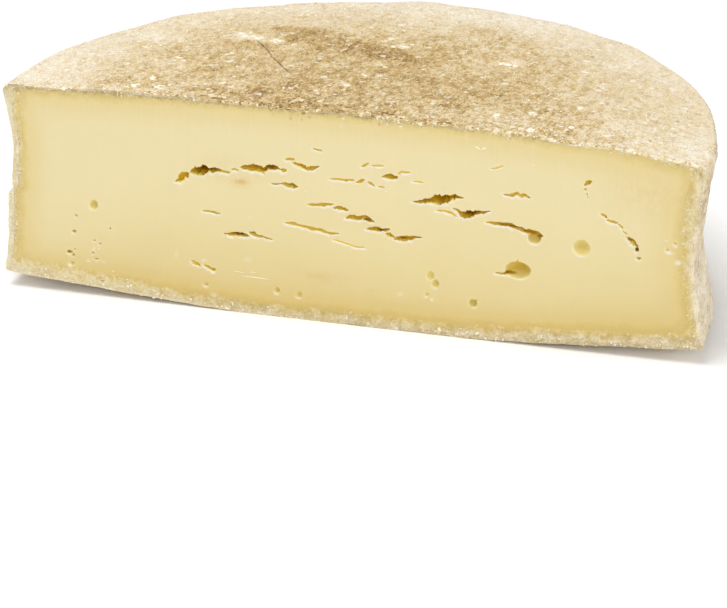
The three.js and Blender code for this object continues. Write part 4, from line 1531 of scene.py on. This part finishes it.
# %% Rind: gloss and relief
nodes.feed(shader.inputs["Roughness"], nodes.ease(grain, 0, 1, 0.72, 0.92))
shader.inputs["Specular IOR Level"].default_value = 0.3
raised = nodes.math("MAXIMUM", pale, flake)
height = nodes.total(grain, nodes.times(raised, 0.9), nodes.times(brown, -0.5), nodes.times(dark, -1.6),
                     nodes.times(speck, -0.8), nodes.times(crack, -0.8), nodes.times(scratch, -1.5))
bump(nodes, shader, height, 0.26, 0.9)
rind.data.materials.clear()
rind.data.materials.append(rind_material)
print(len(nodes.tree.nodes), "nodes in all in", rind_material.name)

# %% [markdown]
# ### The paste's material
#
# The paste glows a little, because light enters it and comes out nearby: a small share of
# subsurface scattering. Its colour follows the distance from the rind. Inside a slit the colour is
# painted golden and then brown with the depth: painted shade of the hollow, and the warmer light that
# has passed through much more cheese, painted in as well.

# %% Paste: colour by the distance from the rind
paste_material, nodes, shader, place = new_material("cream-yellow paste")
inside = nodes.attribute("inside")
lip_pale_and_highlight = nodes.attribute("lip")
meal = nodes.group(mealy, Place=place, Size=0.8)
wander = nodes.total(nodes.swing(nodes.patches(place, 4.5), 0.7), nodes.swing(meal, 0.5))
edge = nodes.math("ADD", inside, wander)
axes = nodes.add("SeparateXYZ", {"Vector": place})
behind = nodes.math("MULTIPLY_ADD", axes.outputs["Y"], PER_METRE, -CUT)
up = nodes.times(axes.outputs["Z"], PER_METRE)
sideways = nodes.times(axes.outputs["X"], PER_METRE)
dry = nodes.ramp(nodes.math("DIVIDE", edge, nodes.ease(sideways, 60, 130, 13.0, 18.0)),
                 [(0.0, shown(220, 197, 128)), (0.12, shown(228, 206, 140)), (0.25, shown(234, 214, 153)),
                  (0.45, shown(234, 216, 160)), (0.7, shown(237, 220, 168)), (1.0, shown(238, 223, 174))])
level_up = nodes.total(up, nodes.swing(nodes.noise(place, 35, 2, 0.5), 12),
                       nodes.ease(sideways, -135, -75, 15, 0))
tinge = nodes.ramp(nodes.ease(level_up, 4, 66),
                   [(0.0, (0.90, 0.855, 0.70, 1)), (0.5, (0.96, 0.945, 0.87, 1)), (1.0, (1, 1, 1, 1))])
colour = nodes.blend(1.0, dry, tinge, "MULTIPLY")
stain = nodes.times(nodes.attribute("stain"), nodes.ease(nodes.patches(place, 3), 0, 1, 0.4, 1))
colour = nodes.blend(stain, colour, shown(216, 178, 104))
upright = nodes.add("Mapping", {"Vector": place, "Scale": (1.0, 1.0, 0.03)}).outputs[0]
wire = nodes.noise(upright, 1.1, 2, 0.6)
marks = nodes.times(nodes.ease(wire, 0.5, 0.68), nodes.ease(up, 35, 75))
colour = nodes.coat(colour, marks, 0.06, shown(250, 240, 206))
print(len(nodes.tree.nodes), "nodes for the smooth paste")

# %% Paste: border band, cracks and lips
band = nodes.group(grainy_band, Place=place, Depth=nodes.times(edge, -1.0), Tan=nodes.attribute("tanned"))
in_band = nodes.ease(edge, 1.0, -1.0)
colour = nodes.blend(in_band, colour, band)
lace = nodes.times(nodes.group(flecks, Place=place, Size=2.2, Cover=0.6), nodes.attribute("laced"))
colour = nodes.coat(colour, lace, 0.6, shown(247, 238, 214))
crack = nodes.times(nodes.group(cracks, Place=place, Size=2.4),
                   nodes.times(nodes.attribute("folded"), nodes.ease(edge, -1.0, -3.0)))
colour = nodes.coat(colour, crack, 0.6, shown(166, 132, 84))
# Paler lips: partly the smeared paste's own colour, partly a painted highlight where the light catches them.
colour = nodes.blend(nodes.ease(lip_pale_and_highlight, 0, 0.85), colour, shown(245, 238, 222))
print(len(nodes.tree.nodes), "nodes with the border band and lips")

# %% Paste: gold and brown inside the hollows, painted shade and warm light by depth
# Painted shade and painted warm light: the deeper a point lies in a slit or an eye, the more golden and then
# brown it is painted, on top of the shade the lamps give.
slit_gold_and_shade = nodes.ramp(nodes.math("DIVIDE", behind, 10.0),
                     [(0.0, srgb(240, 223, 148)), (0.1, srgb(235, 214, 116)), (0.26, srgb(232, 202, 66)),
                      (0.5, srgb(224, 182, 32)), (1.0, srgb(178, 128, 10))])
in_eye = nodes.ramp(nodes.math("DIVIDE", behind, 6.0),
                    [(0.0, srgb(238, 221, 160)), (0.2, srgb(221, 204, 136)), (0.35, srgb(208, 189, 110)),
                     (0.55, srgb(208, 180, 84)), (1.0, srgb(172, 134, 38))])
hollow_gold_and_shade = nodes.blend(nodes.attribute("in eye"), slit_gold_and_shade, in_eye)
# Painted light on the upward-facing floor of each eye.
hollow_gold_and_shade = nodes.coat(hollow_gold_and_shade, nodes.attribute("lit eye floor"), 0.4, srgb(232, 215, 152))
# Painted shade: the deepest pockets of the hollows are painted dark brown.
hollow_gold_and_shade = nodes.blend(nodes.ease(nodes.attribute("shaded_pocket"), 0.15, 0.8, 0.0, 0.8), hollow_gold_and_shade, srgb(162, 108, 6))
wall = nodes.attribute("hollow wall")
colour = nodes.blend(wall, colour, hollow_gold_and_shade)
nodes.feed(shader.inputs["Base Color"], colour)
print(len(nodes.tree.nodes), "nodes with the hollows")

# %% Paste: gloss, glow and relief
nodes.feed(shader.inputs["Roughness"], nodes.ease(edge, 1.5, -1, 0.5, 0.85))
nodes.feed(shader.inputs["Specular IOR Level"], nodes.ease(wall, 0, 1, 0.35, 0.03))
shader.inputs["Subsurface Weight"].default_value = 0.25
shader.inputs["Subsurface Radius"].default_value = (1.0, 0.8, 0.4)
shader.inputs["Subsurface Scale"].default_value = 0.0025
height = nodes.total(nodes.times(wire, 0.05), nodes.times(nodes.noise(place, 6, 2), 0.3),
                     nodes.times(nodes.times(meal, in_band), 1.2), nodes.times(crack, -0.8))
bump(nodes, shader, height, 0.2)
paste.data.materials.clear()
paste.data.materials.append(paste_material)
print(len(nodes.tree.nodes), "nodes in all in", paste_material.name)

# %% [markdown]
# ### The material of crumbs, flakes and meal
#
# Loose bits come from the rind's skin, so they use the colours of its top. Each one carries the
# bloom of the place where it lies, and a lift of its own that makes it paler or browner.

# %% Crumbs, flakes and meal
CRUMB_CAST = (0.97, 1, 0.97, 1)

crumb_material, nodes, shader, place = new_material("crumbs of rind")
tone = nodes.total(nodes.attribute("bloom"), nodes.attribute("lift"),
                   nodes.swing(nodes.group(mealy, Place=place, Size=0.7), 0.14))
colour = nodes.blend(1.0, nodes.ramp(tone, TOP_STOPS), CRUMB_CAST, "MULTIPLY")
nodes.feed(shader.inputs["Base Color"], colour)
shader.inputs["Roughness"].default_value = 0.85
shader.inputs["Specular IOR Level"].default_value = 0.3
for piece in (crumbs, flakes, meal_grains):
    piece.data.materials.append(crumb_material)
print(len(nodes.tree.nodes), "nodes in", crumb_material.name)

# %% [markdown]
# ## Smooth shading and bodies
#
# The relief is real, so shading only has to smooth between neighbouring cells and to keep the
# knife's edges sharp.

# %% Finish the pieces
for piece, sharp_degrees in ((paste, 38), (rind, 50), (crumbs, 60), (flakes, 40), (meal_grains, 60)):
    only(piece)
    bpy.ops.object.shade_smooth_by_angle(angle=math.radians(sharp_degrees))
    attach(piece, "root")
    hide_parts("cheese")
    print(piece.name, "has", triangles(piece), "triangles")

# %% [markdown]
# ## Floor, light and camera
#
# The cheese lies on a plain pale floor in a bright studio. A large soft light hangs above, a little to
# the left and in front. A lower one stands in front at the right, a far one fills the right side, and
# the sky is pale all round. The camera looks down at about 23 degrees through a long lens, from a
# little to the right.

# %% Floor and light
FLOOR_SIZE, SKY_STRENGTH = 12, 0.42

bpy.ops.mesh.primitive_plane_add(size=FLOOR_SIZE, location=(0, 0, 0))
floor = newest("floor")
floor_material, nodes, shader, place = new_material("pale floor")
shader.inputs["Base Color"].default_value = srgb(250, 250, 250)
shader.inputs["Roughness"].default_value = 0.9
shader.inputs["Specular IOR Level"].default_value = 0.1
floor.data.materials.append(floor_material)


def softbox(name, place, size, power, aim=(0, 0, 0.05)):
    lamp = bpy.data.lights.new(name, "AREA")
    lamp.shape = "RECTANGLE"
    lamp.size, lamp.size_y = size
    lamp.energy = power
    box = bpy.data.objects.new(name, lamp)
    box.location = place
    box.rotation_euler = (Vector(aim) - Vector(place)).to_track_quat("-Z", "Y").to_euler()
    box.visible_camera = False                   # it lights the cheese, and isn't seen itself
    bpy.context.scene.collection.objects.link(box)


softbox("overhead softbox", (-0.35, -0.3, 1.5), (1.1, 1.1), 18)
softbox("front fill", (0.9, -1.9, 0.9), (1.2, 1.0), 15)
softbox("right fill", (3.0, 0.2, 0.95), (1.8, 1.8), 27)
world = bpy.data.worlds.new("pale studio")
world.use_nodes = True
sky = world.node_tree.nodes["Background"]
sky.inputs["Color"].default_value = (1, 1, 1, 1)
sky.inputs["Strength"].default_value = SKY_STRENGTH
bpy.context.scene.world = world
print("lamps:", ", ".join(sorted(lamp.name for lamp in bpy.data.lights)))

# %% Camera
CAMERA_PLACE = (431.23, -1524.99, 650.15)
CAMERA_TURN, CAMERA_DOWN = 16.337, 23.016        # degrees round the cheese and below level
FRAME_WIDTH, FOCAL_PIXELS = 727, 4000

lens = bpy.data.cameras.new("camera")
lens.sensor_width = 36
lens.lens = FOCAL_PIXELS / FRAME_WIDTH * lens.sensor_width
lens.clip_start, lens.clip_end = 0.05, 30
camera = bpy.data.objects.new("camera", lens)
camera.location = Vector(CAMERA_PLACE) * MM
camera.rotation_euler = (math.radians(90 - CAMERA_DOWN), 0, math.radians(CAMERA_TURN))
bpy.context.scene.collection.objects.link(camera)
bpy.context.scene.camera = camera
view = bpy.context.scene.view_settings
view.view_transform = "Standard"
view.look = "None"
view.exposure = 0.0
print("camera", round(math.dist(CAMERA_PLACE, (0, 0, 0))), "mm away, lens", round(lens.lens), "mm")
